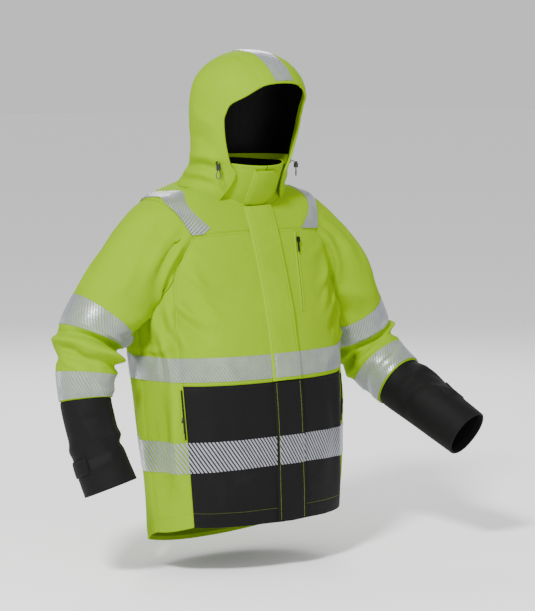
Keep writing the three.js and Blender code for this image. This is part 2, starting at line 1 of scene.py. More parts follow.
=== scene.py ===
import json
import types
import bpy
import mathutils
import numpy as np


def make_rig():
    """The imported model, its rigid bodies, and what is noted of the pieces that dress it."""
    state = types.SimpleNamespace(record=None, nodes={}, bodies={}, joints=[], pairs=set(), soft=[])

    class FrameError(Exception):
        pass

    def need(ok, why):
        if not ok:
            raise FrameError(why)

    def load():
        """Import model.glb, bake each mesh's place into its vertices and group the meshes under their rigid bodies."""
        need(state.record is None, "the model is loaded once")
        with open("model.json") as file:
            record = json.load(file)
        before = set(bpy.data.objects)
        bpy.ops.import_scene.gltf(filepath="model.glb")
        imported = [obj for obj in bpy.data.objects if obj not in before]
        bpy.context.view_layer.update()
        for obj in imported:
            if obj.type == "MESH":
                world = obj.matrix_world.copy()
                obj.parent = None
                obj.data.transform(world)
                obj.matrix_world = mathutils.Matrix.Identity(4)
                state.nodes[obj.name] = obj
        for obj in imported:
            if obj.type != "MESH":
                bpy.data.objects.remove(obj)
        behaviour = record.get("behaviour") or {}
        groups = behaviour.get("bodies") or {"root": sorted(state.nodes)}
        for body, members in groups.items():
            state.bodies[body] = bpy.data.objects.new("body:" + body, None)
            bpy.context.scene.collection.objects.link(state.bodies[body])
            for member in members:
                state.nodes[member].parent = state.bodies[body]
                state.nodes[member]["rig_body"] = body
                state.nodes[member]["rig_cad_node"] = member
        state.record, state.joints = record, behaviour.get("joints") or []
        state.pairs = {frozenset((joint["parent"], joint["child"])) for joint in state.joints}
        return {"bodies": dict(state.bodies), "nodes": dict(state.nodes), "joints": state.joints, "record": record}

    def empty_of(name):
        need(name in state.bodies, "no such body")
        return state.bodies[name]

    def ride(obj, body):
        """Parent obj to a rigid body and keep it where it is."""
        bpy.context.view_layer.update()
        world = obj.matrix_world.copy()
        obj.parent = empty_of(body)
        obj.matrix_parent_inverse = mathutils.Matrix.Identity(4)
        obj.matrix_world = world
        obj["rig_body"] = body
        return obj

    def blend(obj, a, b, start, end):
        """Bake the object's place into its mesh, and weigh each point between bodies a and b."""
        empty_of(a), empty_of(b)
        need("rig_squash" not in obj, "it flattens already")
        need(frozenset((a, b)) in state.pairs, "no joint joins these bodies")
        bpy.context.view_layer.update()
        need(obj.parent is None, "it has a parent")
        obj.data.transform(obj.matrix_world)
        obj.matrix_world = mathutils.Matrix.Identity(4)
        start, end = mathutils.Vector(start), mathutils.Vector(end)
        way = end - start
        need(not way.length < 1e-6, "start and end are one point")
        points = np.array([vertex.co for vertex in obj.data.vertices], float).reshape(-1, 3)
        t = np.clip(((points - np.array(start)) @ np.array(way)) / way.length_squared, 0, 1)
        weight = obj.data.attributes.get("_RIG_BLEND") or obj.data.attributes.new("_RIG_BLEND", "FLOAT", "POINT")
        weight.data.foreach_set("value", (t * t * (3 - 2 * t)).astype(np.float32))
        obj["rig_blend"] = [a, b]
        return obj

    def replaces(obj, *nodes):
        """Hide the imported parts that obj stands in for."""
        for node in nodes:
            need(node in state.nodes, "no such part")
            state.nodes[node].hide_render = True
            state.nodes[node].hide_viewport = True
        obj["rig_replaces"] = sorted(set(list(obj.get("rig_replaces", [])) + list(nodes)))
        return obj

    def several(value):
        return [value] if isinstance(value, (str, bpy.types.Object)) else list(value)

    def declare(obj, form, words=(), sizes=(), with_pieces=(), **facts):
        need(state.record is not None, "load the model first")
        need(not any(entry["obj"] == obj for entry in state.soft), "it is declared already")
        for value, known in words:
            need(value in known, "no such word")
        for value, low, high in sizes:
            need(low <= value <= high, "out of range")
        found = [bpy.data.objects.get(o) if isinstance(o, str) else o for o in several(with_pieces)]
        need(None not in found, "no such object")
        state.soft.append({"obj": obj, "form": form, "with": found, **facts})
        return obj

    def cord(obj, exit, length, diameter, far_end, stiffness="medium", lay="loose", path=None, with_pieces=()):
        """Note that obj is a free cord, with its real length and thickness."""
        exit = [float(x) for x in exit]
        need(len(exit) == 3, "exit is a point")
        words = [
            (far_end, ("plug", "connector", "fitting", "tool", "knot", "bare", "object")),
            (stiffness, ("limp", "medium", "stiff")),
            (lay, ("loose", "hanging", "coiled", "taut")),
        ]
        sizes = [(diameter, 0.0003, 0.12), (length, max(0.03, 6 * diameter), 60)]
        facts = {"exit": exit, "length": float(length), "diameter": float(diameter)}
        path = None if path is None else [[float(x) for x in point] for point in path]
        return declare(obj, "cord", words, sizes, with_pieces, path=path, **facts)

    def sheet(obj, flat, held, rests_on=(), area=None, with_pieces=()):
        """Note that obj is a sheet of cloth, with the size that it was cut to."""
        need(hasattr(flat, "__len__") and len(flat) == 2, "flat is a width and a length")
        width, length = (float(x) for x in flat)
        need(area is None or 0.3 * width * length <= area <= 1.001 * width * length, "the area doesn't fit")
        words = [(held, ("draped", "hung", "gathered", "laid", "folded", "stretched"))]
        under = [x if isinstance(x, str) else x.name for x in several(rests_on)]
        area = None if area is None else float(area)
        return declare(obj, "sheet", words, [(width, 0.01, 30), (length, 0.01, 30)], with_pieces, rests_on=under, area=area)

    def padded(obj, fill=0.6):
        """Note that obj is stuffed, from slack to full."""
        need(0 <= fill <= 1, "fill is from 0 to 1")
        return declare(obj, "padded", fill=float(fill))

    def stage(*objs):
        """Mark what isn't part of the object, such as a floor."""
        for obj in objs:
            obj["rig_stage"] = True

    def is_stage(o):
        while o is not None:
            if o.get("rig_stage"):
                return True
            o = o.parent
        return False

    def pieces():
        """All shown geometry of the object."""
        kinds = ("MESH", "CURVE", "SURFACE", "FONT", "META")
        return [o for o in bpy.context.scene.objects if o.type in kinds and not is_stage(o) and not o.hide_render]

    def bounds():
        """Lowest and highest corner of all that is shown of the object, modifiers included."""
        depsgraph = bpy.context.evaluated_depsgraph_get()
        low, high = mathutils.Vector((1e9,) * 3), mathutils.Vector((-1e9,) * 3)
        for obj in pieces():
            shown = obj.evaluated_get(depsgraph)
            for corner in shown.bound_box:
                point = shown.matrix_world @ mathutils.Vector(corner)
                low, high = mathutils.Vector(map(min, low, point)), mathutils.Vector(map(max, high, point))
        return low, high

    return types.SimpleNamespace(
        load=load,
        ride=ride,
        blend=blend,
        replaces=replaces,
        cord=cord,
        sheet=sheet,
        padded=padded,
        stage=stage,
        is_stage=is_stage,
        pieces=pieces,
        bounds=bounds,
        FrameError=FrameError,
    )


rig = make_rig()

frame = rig.load()

import bpy, bmesh, math, json
import numpy as np
from mathutils import Vector, Matrix
from mathutils.bvhtree import BVHTree

BOX0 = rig.bounds()
H = np.array([0.0, 48.0, 699.0])     # body frame (mm, hem front at z 0) -> row frame: (P - H) / 1000
D2R = math.pi / 180
row = lambda p: tuple(((np.asarray(p, float) - H) / 1000).tolist())

# ------------------------------------------------------------------ surfaces
TORSO = np.array([
  [224, 139, 128, -31, 2.3, 0, -32, -66], [230, 140, 133, -27, 2.3, 80, 66, 50], [236, 146.2, 138, -17, 2.35, 180, 176, 172],
  [240, 148.1, 145, -5, 2.4, 290, 290, 290], [242, 145.1, 148, 3, 2.4, 360, 360, 360], [242, 135.5, 146, 8, 2.4, 430, 436, 440],
  [233, 114.8, 130, 15, 2.5, 531, 552, 562], [224, 100.1, 112, 16, 2.6, 578, 612, 622], [206, 89, 96, 14, 2.5, 603, 646, 655],
  [165, 77.3, 88, 8, 2.4, 618, 660, 676], [118, 62, 80, 0, 2.3, 631, 672, 692]], float)
HOOD = np.array([
  [120, 62, 82, 0, 2.3, 632.5, 673.5, 693.5], [114, 72, 82, -8, 2.3, 665, 692, 706], [108, 84, 82, -14, 2.2, 700, 712, 722],
  [110, 100, 84, -22, 2.1, 742, 746, 750], [116, 118, 88, -27, 2.1, 790, 790, 790], [118, 130, 92, -30, 2.1, 830, 830, 826],
  [116, 128, 92, -32, 2.1, 866, 862, 856], [108, 112, 84, -33, 2.1, 897, 890, 884], [88, 84, 66, -34, 2.1, 922, 916, 908],
  [58, 54, 44, -36, 2.1, 938, 934, 930], [26, 24, 20, -37, 2.0, 944, 943, 942], [5, 5, 5, -37, 2.0, 945, 945, 945]], float)
COLLAR = np.array([[103, 59, 66, 0, 2.2, 633.5, 676, 696], [100, 68, 70, -6, 2.1, 655, 692, 706],
  [97, 78, 73, -12, 2.0, 682, 706, 716], [96, 86, 74, -16, 2.0, 711, 722, 728]], float)
R_ARM = np.array([[-140, -4, 588, 56], [-194, 0, 577, 73], [-233, 8, 539, 75.5], [-264, 22, 487, 74], [-302, 34, 432, 72], [-334, 42, 388, 68.5],
  [-352, 40, 336, 62.5], [-361, 34, 282, 54.5], [-364, 26, 242, 50.5], [-360, 6, 178, 50], [-355, -10, 134, 51.5], [-347, -27, 89, 53.5]], float)
L_ARM = np.array([[140, -4, 590, 56], [195, 2, 578, 74], [236, 6, 545, 76], [265, 3, 503, 75], [291, 0, 455, 74], [318, 0, 410, 72.5], [346, 2, 362, 71],
  [367, -4, 318, 68], [382, -41, 275, 63], [392, -86, 243, 59], [402, -130, 217, 56], [416, -190, 181, 53.5], [431, -248, 145, 52]], float)

def row_at(tab, t):
    tab = np.asarray(tab, float); m = len(tab); t = np.asarray(t, float)
    s = np.clip(t, 0, 1) * (m - 1); i = np.minimum(np.floor(s).astype(int), m - 2); f = (s - i)[..., None]
    ext = np.vstack([2 * tab[0] - tab[1], tab, 2 * tab[-1] - tab[-2]])
    a, b, c, d = ext[i], ext[i + 1], ext[i + 2], ext[i + 3]
    return 0.5 * (2 * b + (-a + c) * f + (2 * a - 5 * b + 4 * c - d) * f * f + (-a + 3 * b - 3 * c + d) * f ** 3)
def ring_point(r, th):
    A, Bf, Bb, cy, n, zf, zs, zb = [r[..., k] for k in range(8)]
    c, s = np.cos(th), np.sin(th); e = 2 / n
    X = A * np.sign(s) * np.abs(s) ** e; fy = np.sign(c) * np.abs(c) ** e; w = c * c
    return np.stack([X, np.where(c >= 0, cy - Bf * fy, cy - Bb * fy), np.where(c >= 0, zs + (zf - zs) * w, zs + (zb - zs) * w)], -1)
def loft(tab):
    return lambda th, t: ring_point(row_at(tab, t), np.asarray(th, float) * D2R)
torso0, hood, collar = loft(TORSO), loft(HOOD), loft(COLLAR)
def torso(th, t):
    """the body shell; the front of its hem is cut a little higher than the back"""
    th = np.asarray(th, float); a = np.abs((th + 180) % 360 - 180); t = np.asarray(t, float)
    return torso0(th, t + np.interp(a, [0, 25, 60, 92, 118], [.001, .009, .029, .018, 0]) * np.clip(1 - t / .125, 0, 1))
def unit(a):
    return a / np.maximum(np.linalg.norm(a, axis=-1, keepdims=True), 1e-12)
def normal(S, u, v, du=1.1, dv=0.01):
    a = S(u + du, v) - S(u - du, v); b = S(u, np.minimum(v + dv, 1)) - S(u, np.maximum(v - dv, 0))
    return unit(np.cross(a, b))
def th_at_x(x, t, tab=TORSO):
    r = row_at(tab, t); return np.arcsin(np.sign(x) * np.minimum(np.abs(x) / r[..., 0], 1) ** (r[..., 4] / 2)) / D2R
def arm(rows):
    P, R = rows[:, :3], rows[:, 3:4]
    def fr(v):
        v = np.asarray(v, float)
        t = unit(row_at(P, np.minimum(v + 0.04, 1)) - row_at(P, np.maximum(v - 0.04, 0)))
        b = unit(np.cross(t, np.array([0, 1, 0.001]))); return t, unit(np.cross(b, t)), b
    def S(u, v, d=0.0):
        v = np.asarray(v, float) + 0 * np.asarray(u, float); t, a, b = fr(v); r = row_at(R, v)[..., 0] + d; u = np.asarray(u, float) * D2R
        return row_at(P, v) - (r * np.cos(u))[..., None] * a + (r * np.sin(u))[..., None] * b
    return S, fr, P
ARMS = {"right": arm(R_ARM), "left": arm(L_ARM)}
SLV = {"right": dict(elbow=.523, tape1=(.386, .468), tape2=(.59, .69), black=.6955),
       "left": dict(elbow=.583, tape1=(.4375, .525), tape2=(.654, .746), black=.7505)}
WAIST, YOKE = 0.2925, 0.695
TAPE_LOW, TAPE_WAIST = (.1385, .1945), (.301, .367)

# ------------------------------------------------------------------ folds: soft ridges along lines on the surfaces
RIDGES = {"torso": [], "right": [], "left": [], "hood": []}
def ridge(key, pts, amp, w, S=None):
    q = row_at(np.array(pts, float), np.linspace(0, 1, 14)) if len(pts) > 2 else np.linspace(pts[0], pts[-1], 10)
    S = S or {"torso": torso, "hood": hood}.get(key) or ARMS[key][0]
    RIDGES[key].append((S(q[:, 0], q[:, 1]), amp * {'torso': 2.15, 'hood': 1.5}.get(key, 2.0), w * 1.08))
def fold_field(key, P):
    sh = P.shape[:-1]; X = P.reshape(-1, 3); out = np.zeros(len(X))
    for line, amp, w in RIDGES[key]:
        lo, hi = line.min(0) - 3 * w, line.max(0) + 3 * w
        k = np.where(((X > lo) & (X < hi)).all(1))[0]
        if not len(k): continue
        Y = X[k]; best = np.full(len(k), 1e9); par = np.zeros(len(k)); m = len(line) - 1
        for i in range(m):
            a, d = line[i], line[i + 1] - line[i]; f = np.clip(((Y - a) @ d) / (d @ d), 0, 1)
            dist = np.linalg.norm(Y - a - f[:, None] * d, axis=1); b = dist < best
            best[b] = dist[b]; par[b] = (i + f[b]) / m
        out[k] += amp * np.exp(-(best / w) ** 2) * np.sin(np.pi * np.clip(par * .9 + .05, 0, 1)) ** .7
    return out.reshape(sh)
RNG = np.random.RandomState(7)
WAVES = [(RNG.randn(3), RNG.rand() * 6.28) for _ in range(14)]
def wavy(P, scale=95.0, amp=1.0):
    o = 0
    for k, (d, ph) in enumerate(WAVES):
        o = o + np.sin((P @ (d / np.linalg.norm(d))) * 6.283 / (scale * (.6 + .11 * k)) + ph) / 5.0
    return amp * o
SIGN = {"right": -1, "left": 1}
for s, j in ((-1, 0.0), (1, 1.0)):
    m = lambda pts: [(s * a, t) for a, t in pts]
    ridge("torso", m([(64, .525), (50, .49), (36, .455)]), 3.6, 9)
    ridge("torso", m([(61, .50), (50, .46), (40, .415)]), -3.0, 9)
    ridge("torso", m([(67, .515), (60, .45), (52, .385)]), 3.6, 10)
    ridge("torso", m([(78, .50), (75, .44), (68, .375)]), 4.2, 11)
    ridge("torso", m([(72, .50), (68, .44), (60, .37)]), -3.4, 9)
    ridge("torso", m([(86, .49), (86, .42), (82, .36)]), -3.6, 11)
    ridge("torso", m([(94, .49), (97, .42), (96, .345)]), 4.2, 12)
    ridge("torso", m([(104, .50), (112, .45), (124, .40)]), 4.2, 12)
    ridge("torso", m([(102, .47), (106, .41), (110, .34)]), -3.4, 11)
    ridge("torso", m([(112, .52), (126, .50), (142, .47)]), 3.4, 11)
    ridge("torso", m([(66, .40), (77, .383), (90, .392)]), 2.6, 7)
    ridge("torso", m([(70, .378), (82, .370), (98, .378)]), -2.2, 6)
    ridge("torso", m([(64, .275), (68, .20), (65, .07)]), 3.2, 13)
    ridge("torso", m([(79, .285), (77, .2), (82, .06)]), -3.4, 13)
    ridge("torso", m([(93, .28), (96, .18), (94, .05)]), 3.6, 15)
    ridge("torso", m([(112, .27), (116, .16), (112, .04)]), -3.0, 16)
    ridge("torso", m([(132, .27), (136, .15), (140, .03)]), 3.4, 18)
    ridge("torso", m([(140, .64), (143, .52), (139, .39)]), 3.4, 15)
    ridge("torso", m([(152, .66), (154, .52), (156, .42)]), -2.8, 16)
    ridge("torso", m([(50, .62), (40, .60), (28, .585)]), 1.8, 12)
    ridge("torso", m([(56, .578), (46, .555), (32, .53)]), 2.4, 9)
    ridge("torso", m([(52, .568), (42, .535), (30, .505)]), -1.8, 8)
    ridge("torso", m([(26, .30), (30, .33), (40, .35)]), 1.4, 12)
    ridge("torso", m([(22, .27), (26, .2), (24, .1)]), 1.6, 20)
    ridge("torso", m([(44, .28), (42, .17), (46, .05)]), 1.8, 18)
ridge("torso", [(-71, .49), (-70, .41), (-67, .31), (-69, .22), (-72, .12)], 3.6, 13)
ridge("torso", [(-64, .47), (-63, .40), (-62, .31)], -2.2, 9)
ridge("torso", [(71, .49), (70, .41), (68, .31), (70, .2)], 3.2, 13)
ridge("torso", [(180, .62), (182, .5), (179, .4)], -2.6, 16)
ridge("torso", [(170, .28), (172, .15), (168, .03)], -2.6, 20)
ridge("torso", [(196, .28), (192, .15), (197, .03)], 2.6, 20)
for side in ("right", "left"):
    k = SLV[side]; e = k["elbow"]; q = 1 if side == "right" else -1
    U = lambda a: a if side == "right" else -a
    r = lambda pts, amp, w: ridge(side, [(U(a), v) for a, v in pts], amp, w)
    # ring folds at the elbow crook, soft bulges between them
    r([(-70, e - .045), (0, e - .035), (60, e - .03), (120, e - .04)], -6.0, 7)
    r([(-80, e - .018), (-10, e - .006), (60, e + .002), (130, e - .01)], 5.0, 9)
    r([(-60, e + .022), (10, e + .03), (80, e + .028), (150, e + .012)], -5.0, 7)
    r([(20, e + .055), (90, e + .05), (160, e + .04)], 3.4, 8)
    r([(180, e - .03), (230, e - .01), (290, e - .03)], 3.4, 12)
    r([(170, e + .03), (235, e + .028), (300, e + .02)], -2.6, 10)
    r([(-75, e - .040), (-10, e - .034), (45, e - .012), (78, e + .028), (84, e + .06)], -5.5, 6.5)
    r([(-50, e + .004), (-5, e + .010), (40, e + .03)], 3.6, 15)
    r([(-95, e + .02), (-60, e + .03), (-25, e + .045)], -2.6, 7)
    # drags down the upper arm from the armhole
    r([(60, .30), (25, .34), (-15, .40)], 4.0, 9); r([(80, .33), (50, .38), (10, .43)], -3.6, 8)
    r([(95, .31), (85, .37), (50, .44)], 4.0, 9); r([(120, .31), (140, .37), (175, .42)], 4.0, 10)
    r([(-40, .22), (-38, .30), (-50, .37)], 2.2, 14); r([(230, .24), (240, .33), (235, .41)], 2.6, 14)
    # forearm and cuff
    r([(-30, e + .10), (20, e + .13), (60, e + .12)], 2.4, 8); r([(60, e + .09), (120, e + .12), (170, e + .10)], -2.4, 8)
    r([(-40, .80), (20, .82), (80, .81)], 2.2, 9); r([(0, .86), (50, .845), (110, .86)], -2.0, 8)
    r([(-60, .93), (-20, .90), (10, .87)], 1.8, 8); r([(180, .80), (230, .83), (280, .82)], 2.0, 10); r([(-80, .77), (-20, .76), (40, .775)], -1.6, 7)
for s in (-1, 1):
    m = lambda pts: [(s * a, t) for a, t in pts]
    ridge("hood", m([(62, .12), (90, .13), (125, .12)]), 4.0, 9)
    ridge("hood", m([(58, .175), (85, .19), (120, .17)]), -3.6, 8)
    ridge("hood", m([(58, .225), (84, .245), (118, .24)]), 3.2, 9)
    ridge("hood", m([(52, .06), (80, .065), (110, .05)]), -3.0, 8)
    ridge("hood", m([(75, .30), (95, .33), (120, .33)]), -2.2, 12)
    ridge("hood", m([(135, .10), (150, .14), (165, .12)]), 3.0, 11)
    ridge("hood", m([(66, .36), (84, .40), (108, .44)]), 2.2, 12)
def d_torso(P): return fold_field("torso", P) + wavy(P, 120, .8)
def d_hood(P): return fold_field("hood", P) + wavy(P, 100, .8)
def d_arm(side): return lambda P: fold_field(side, P) + wavy(P, 85, 1.0)

# ------------------------------------------------------------------ mesh making
def quads(nv, nu, flip=False, base=0):
    j, i = np.meshgrid(np.arange(nv - 1), np.arange(nu - 1), indexing="ij"); a = (j * nu + i).ravel() + base
    f = np.stack([a, a + 1, a + nu + 1, a + nu], 1)
    return f[:, ::-1] if flip else f
def make(name, P, F, mat, uv=None, smooth=True, weld=0.0):
    P = np.asarray(P, float).reshape(-1, 3); me = bpy.data.meshes.new(name)
    me.from_pydata(((P - H) / 1000).tolist(), [], [list(map(int, f)) for f in F])
    if uv is not None:
        uv = np.asarray(uv, float).reshape(-1, 2); lay = me.uv_layers.new(name="UVMap")
        idx = np.zeros(len(me.loops), np.int32); me.loops.foreach_get("vertex_index", idx)
        lay.data.foreach_set("uv", uv[idx].ravel().astype(np.float32))
    ob = bpy.data.objects.new(name, me); bpy.context.scene.collection.objects.link(ob)
    if weld:
        bm = bmesh.new(); bm.from_mesh(me); bmesh.ops.remove_doubles(bm, verts=bm.verts, dist=weld / 1000); bm.to_mesh(me); bm.free()
    for m in (mat if isinstance(mat, (list, tuple)) else [mat]): me.materials.append(m)
    if smooth: me.polygons.foreach_set("use_smooth", [True] * len(me.polygons))
    me.update(); return ob
def spacing(L, step=4.0, fine=(True, True)):
    f = [0, .8, 1.6, 2.5, 3.6, 4.9, 5.6, 6.3, 7.4, 9.5, 12.0]
    a = [x for x in f] if fine[0] else [0.0]; b = [L - x for x in f][::-1] if fine[1] else [L]
    n = max(int(round((b[0] - a[-1]) / step)), 1); mid = np.linspace(a[-1], b[0], n + 1)[1:-1].tolist()
    return np.array(a + mid + b) / L
def curve(S, *pieces):
    """dense boundary line from splined pieces: (params, share of its length)"""
    q = []
    for p in pieces:
        p = np.array(p, float); q.append(row_at(p, np.linspace(0, 1, 24 * (len(p) - 1) + 1)) if len(p) > 2 else np.linspace(p[0], p[1], 90))
    q = np.vstack(q); P = S(q[:, 0], q[:, 1]); L = np.r_[0, np.cumsum(np.linalg.norm(np.diff(P, axis=0), axis=1) + 1e-9)]
    return q, L / L[-1], L[-1]
def at(c, s):
    return np.stack([np.interp(s, c[1], c[0][:, 0]), np.interp(s, c[1], c[0][:, 1])], -1)
def coons(B, T, L, R, s, r):
    b, t, l, q = at(B, s), at(T, s), at(L, r), at(R, r); s = s[None, :, None]; r = r[:, None, None]
    return ((1 - r) * b[None] + r * t[None] + (1 - s) * l[:, None] + s * q[:, None]
            - ((1 - s) * (1 - r) * b[0] + s * (1 - r) * b[-1] + (1 - s) * r * t[0] + s * r * t[-1]))
def edges(P):
    u = np.concatenate([np.zeros_like(P[:, :1, 0]), np.cumsum(np.linalg.norm(np.diff(P, axis=1), axis=-1), 1)], 1)
    v = np.concatenate([np.zeros_like(P[:1, :, 0]), np.cumsum(np.linalg.norm(np.diff(P, axis=0), axis=-1), 0)], 0)
    return dict(L=u, R=u[:, -1:] - u, B=v, T=v[-1:] - v), np.stack([u - u[:, -1:] / 2, v], -1) / 1000
def seam_profile(ed, code, puff=1.1):
    """code: a letter per edge L R B T. S topstitched seam, s plain seam, H turned hem, o hidden raw edge, f sewn free edge"""
    o = 0; pf = 1
    for e, c in zip("LRBT", code):
        d = ed[e]
        if c in "Ss": o = o - 1.5 * np.exp(-(d / 1.7) ** 2)
        if c == "S": o = o - .55 * np.exp(-((d - 5.6) / 1.0) ** 2)
        if c in "SsH": pf = pf * (1 - np.exp(-(d / 15) ** 2))
        if c == "f": o = o - .5 * np.exp(-((d - 5.6) / 1.0) ** 2)
    return o + puff * pf
OBJ = {}
def keep(ob, body, *nodes):
    if body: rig.ride(ob, body)
    if nodes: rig.replaces(ob, *nodes)
    OBJ[ob.name] = ob; return ob

# ------------------------------------------------------------------ materials
def lin(c):
    return tuple(((x / 255) / 12.92 if x / 255 < .04045 else ((x / 255 + .055) / 1.055) ** 2.4) for x in c) + (1,)
def material(name, c0, c1, rough=.7, metal=0.0, sheen=0.0, sheen_c=None, weave=0.0, weave_mm=.55, grain=0.0, blot=14.0, wear=None, wear_amt=.25, emit=0.0, spec=.5, coat=0.0):
    m = bpy.data.materials.new(name); m.use_nodes = True; nt = m.node_tree; N, L = nt.nodes, nt.links
    b = N["Principled BSDF"]; tc = N.new("ShaderNodeTexCoord")
    b.inputs["Metallic"].default_value = metal; b.inputs["Specular IOR Level"].default_value = spec
    if sheen: b.inputs["Sheen Weight"].default_value = sheen; b.inputs["Sheen Roughness"].default_value = .45; b.inputs["Sheen Tint"].default_value = sheen_c or lin(c1)
    if coat: b.inputs["Coat Weight"].default_value = coat; b.inputs["Coat Roughness"].default_value = .25
    n1 = N.new("ShaderNodeTexNoise"); n1.inputs["Scale"].default_value = blot; n1.inputs["Detail"].default_value = 4; L.new(tc.outputs["Object"], n1.inputs["Vector"])
    mx = N.new("ShaderNodeMix"); mx.data_type = "RGBA"; mx.inputs[6].default_value = lin(c0); mx.inputs[7].default_value = lin(c1)
    L.new(n1.outputs["Fac"], mx.inputs[0]); col = mx.outputs[2]
    if wear:
        n2 = N.new("ShaderNodeTexNoise"); n2.inputs["Scale"].default_value = 5.5; n2.inputs["Detail"].default_value = 6; n2.inputs["Roughness"].default_value = .7; L.new(tc.outputs["Object"], n2.inputs["Vector"])
        rp = N.new("ShaderNodeValToRGB"); rp.color_ramp.elements[0].position = .56; rp.color_ramp.elements[1].position = .78; rp.color_ramp.elements[1].color = (wear_amt,) * 3 + (1,); rp.color_ramp.elements[0].color = (0, 0, 0, 1)
        L.new(n2.outputs["Fac"], rp.inputs["Fac"]); m2 = N.new("ShaderNodeMix"); m2.data_type = "RGBA"; m2.inputs[7].default_value = lin(wear); L.new(rp.outputs["Color"], m2.inputs[0]); L.new(col, m2.inputs[6]); col = m2.outputs[2]
    rr = N.new("ShaderNodeMapRange"); rr.inputs["To Min"].default_value = rough - .07; rr.inputs["To Max"].default_value = rough + .07; L.new(n1.outputs["Fac"], rr.inputs["Value"]); L.new(rr.outputs["Result"], b.inputs["Roughness"])
    prev = None
    if weave:
        # plain weave: crossed ribs on the cloth's own coordinates
        uvn = N.new("ShaderNodeUVMap"); uvn.uv_map = "UVMap"; hs = []
        for dr in ("X", "Y"):
            w = N.new("ShaderNodeTexWave"); w.wave_type = "BANDS"; w.bands_direction = dr; w.wave_profile = "SIN"
            w.inputs["Scale"].default_value = 1000 / weave_mm / 6.2832 / 1.0 * .314; w.inputs["Distortion"].default_value = .6; w.inputs["Detail"].default_value = 1; w.inputs["Detail Scale"].default_value = .5
            L.new(uvn.outputs["UV"], w.inputs["Vector"]); hs.append(w.outputs["Fac"])
        mm = N.new("ShaderNodeMath"); mm.operation = "MAXIMUM"; L.new(hs[0], mm.inputs[0]); L.new(hs[1], mm.inputs[1])
        bp = N.new("ShaderNodeBump"); bp.inputs["Strength"].default_value = weave; bp.inputs["Distance"].default_value = .0002; L.new(mm.outputs[0], bp.inputs["Height"]); prev = bp.outputs["Normal"]
        # painted shade in the gaps between the ribs and a faint painted highlight on the ribs: the colour is multiplied
        # by .9 to 1.03 with the weave height
        m3 = N.new("ShaderNodeMix"); m3.data_type = "RGBA"; m3.blend_type = "MULTIPLY"; m3.inputs[0].default_value = 1
        r3 = N.new("ShaderNodeMapRange"); r3.inputs["To Min"].default_value = .9; r3.inputs["To Max"].default_value = 1.03; L.new(mm.outputs[0], r3.inputs["Value"])
        L.new(col, m3.inputs[6]); L.new(r3.outputs["Result"], m3.inputs[7]); col = m3.outputs[2]
    if grain:
        n4 = N.new("ShaderNodeTexNoise"); n4.inputs["Scale"].default_value = 900; n4.inputs["Detail"].default_value = 2; L.new(tc.outputs["Object"], n4.inputs["Vector"])
        b4 = N.new("ShaderNodeBump"); b4.inputs["Strength"].default_value = grain; b4.inputs["Distance"].default_value = .0003; L.new(n4.outputs["Fac"], b4.inputs["Height"])
        if prev: L.new(prev, b4.inputs["Normal"])
        prev = b4.outputs["Normal"]
        # small slack ripples of the cloth
        n5 = N.new("ShaderNodeTexNoise"); n5.inputs["Scale"].default_value = 38; n5.inputs["Detail"].default_value = 3; L.new(tc.outputs["Object"], n5.inputs["Vector"])
        b5 = N.new("ShaderNodeBump"); b5.inputs["Strength"].default_value = .22; b5.inputs["Distance"].default_value = .004; L.new(n5.outputs["Fac"], b5.inputs["Height"]); L.new(prev, b5.inputs["Normal"]); prev = b5.outputs["Normal"]
    if prev: L.new(prev, b.inputs["Normal"])
    L.new(col, b.inputs["Base Color"])
    # painted glow: a constant emission of the cloth's own colour, so the surface shines though it is no lamp
    if emit: b.inputs["Emission Color"].default_value = lin(c1); b.inputs["Emission Strength"].default_value = emit
    return m
# the lime shell cloth glows a little: painted glow from its emission, on top of its own colour
LIME = material("lime_fabric", (112, 146, 0), (122, 157, 0), rough=.8, sheen=.03, sheen_c=lin((170, 230, 0)), weave=.35, grain=.25, wear=(100, 124, 10), wear_amt=.16, emit=.13, spec=.06)
LIME_IN = material("lime_facing", (86, 114, 0), (98, 130, 0), rough=.8, sheen=.02, weave=.35, grain=.25, spec=.3)
BLACK = material("black_fabric", (7, 7, 7), (11, 11, 11), rough=.74, sheen=.03, sheen_c=lin((120, 122, 120)), weave=.5, grain=.3, wear=(44, 44, 42), wear_amt=.2, spec=.16)
LINER = material("black_lining", (6, 6, 6), (9, 9, 9), rough=.6, sheen=.03, weave=.3, weave_mm=.4, grain=.2, spec=.15)
TAPE = material("reflective_silver", (128, 129, 138), (152, 153, 162), rough=.34, metal=.35, grain=.12, blot=60, wear=(120, 122, 122), wear_amt=.3, spec=.6)
TAPE_BASE = material("tape_base", (196, 232, 90), (206, 240, 104), rough=.6, weave=.3, grain=.2, spec=.35)
ZIPT = material("zip_tape_fabric", (16, 16, 17), (24, 24, 25), rough=.75, weave=.7, weave_mm=.9, grain=.2, spec=.3)
TEETH = material("zip_teeth", (22, 22, 23), (34, 34, 35), rough=.4, grain=.05, spec=.5)
ZIPL = material("side_zip_teeth", (44, 58, 0), (56, 72, 4), rough=.5, grain=.05, spec=.3)
METAL = material("zip_metal", (20, 20, 21), (40, 40, 42), rough=.34, metal=.75, grain=.06, wear=(150, 150, 150), wear_amt=.35)
PLASTIC = material("cord_lock_plastic", (14, 14, 15), (22, 22, 23), rough=.38, grain=.06, spec=.5)
THREAD = material("lime_thread", (120, 156, 0), (136, 174, 0), rough=.6, grain=.1, blot=300)
THREAD_O = material("olive_thread", (92, 116, 0), (104, 130, 0), rough=.6, grain=.1, blot=300)
THREAD_K = material("dark_thread", (16, 16, 16), (26, 26, 26), rough=.6, grain=.1, blot=300)
# the tone-on-tone thread glows faintly: painted glow from its emission
THREAD_L = material("tone_thread", (104, 138, 0), (116, 150, 0), rough=.6, grain=.1, blot=300, emit=.02)
PAD = material("loop_pad", (20, 20, 20), (28, 28, 28), rough=.9, grain=.8, spec=.1)
CORD = material("elastic_cord", (34, 34, 36), (62, 62, 64), rough=.5, grain=.3, blot=200)

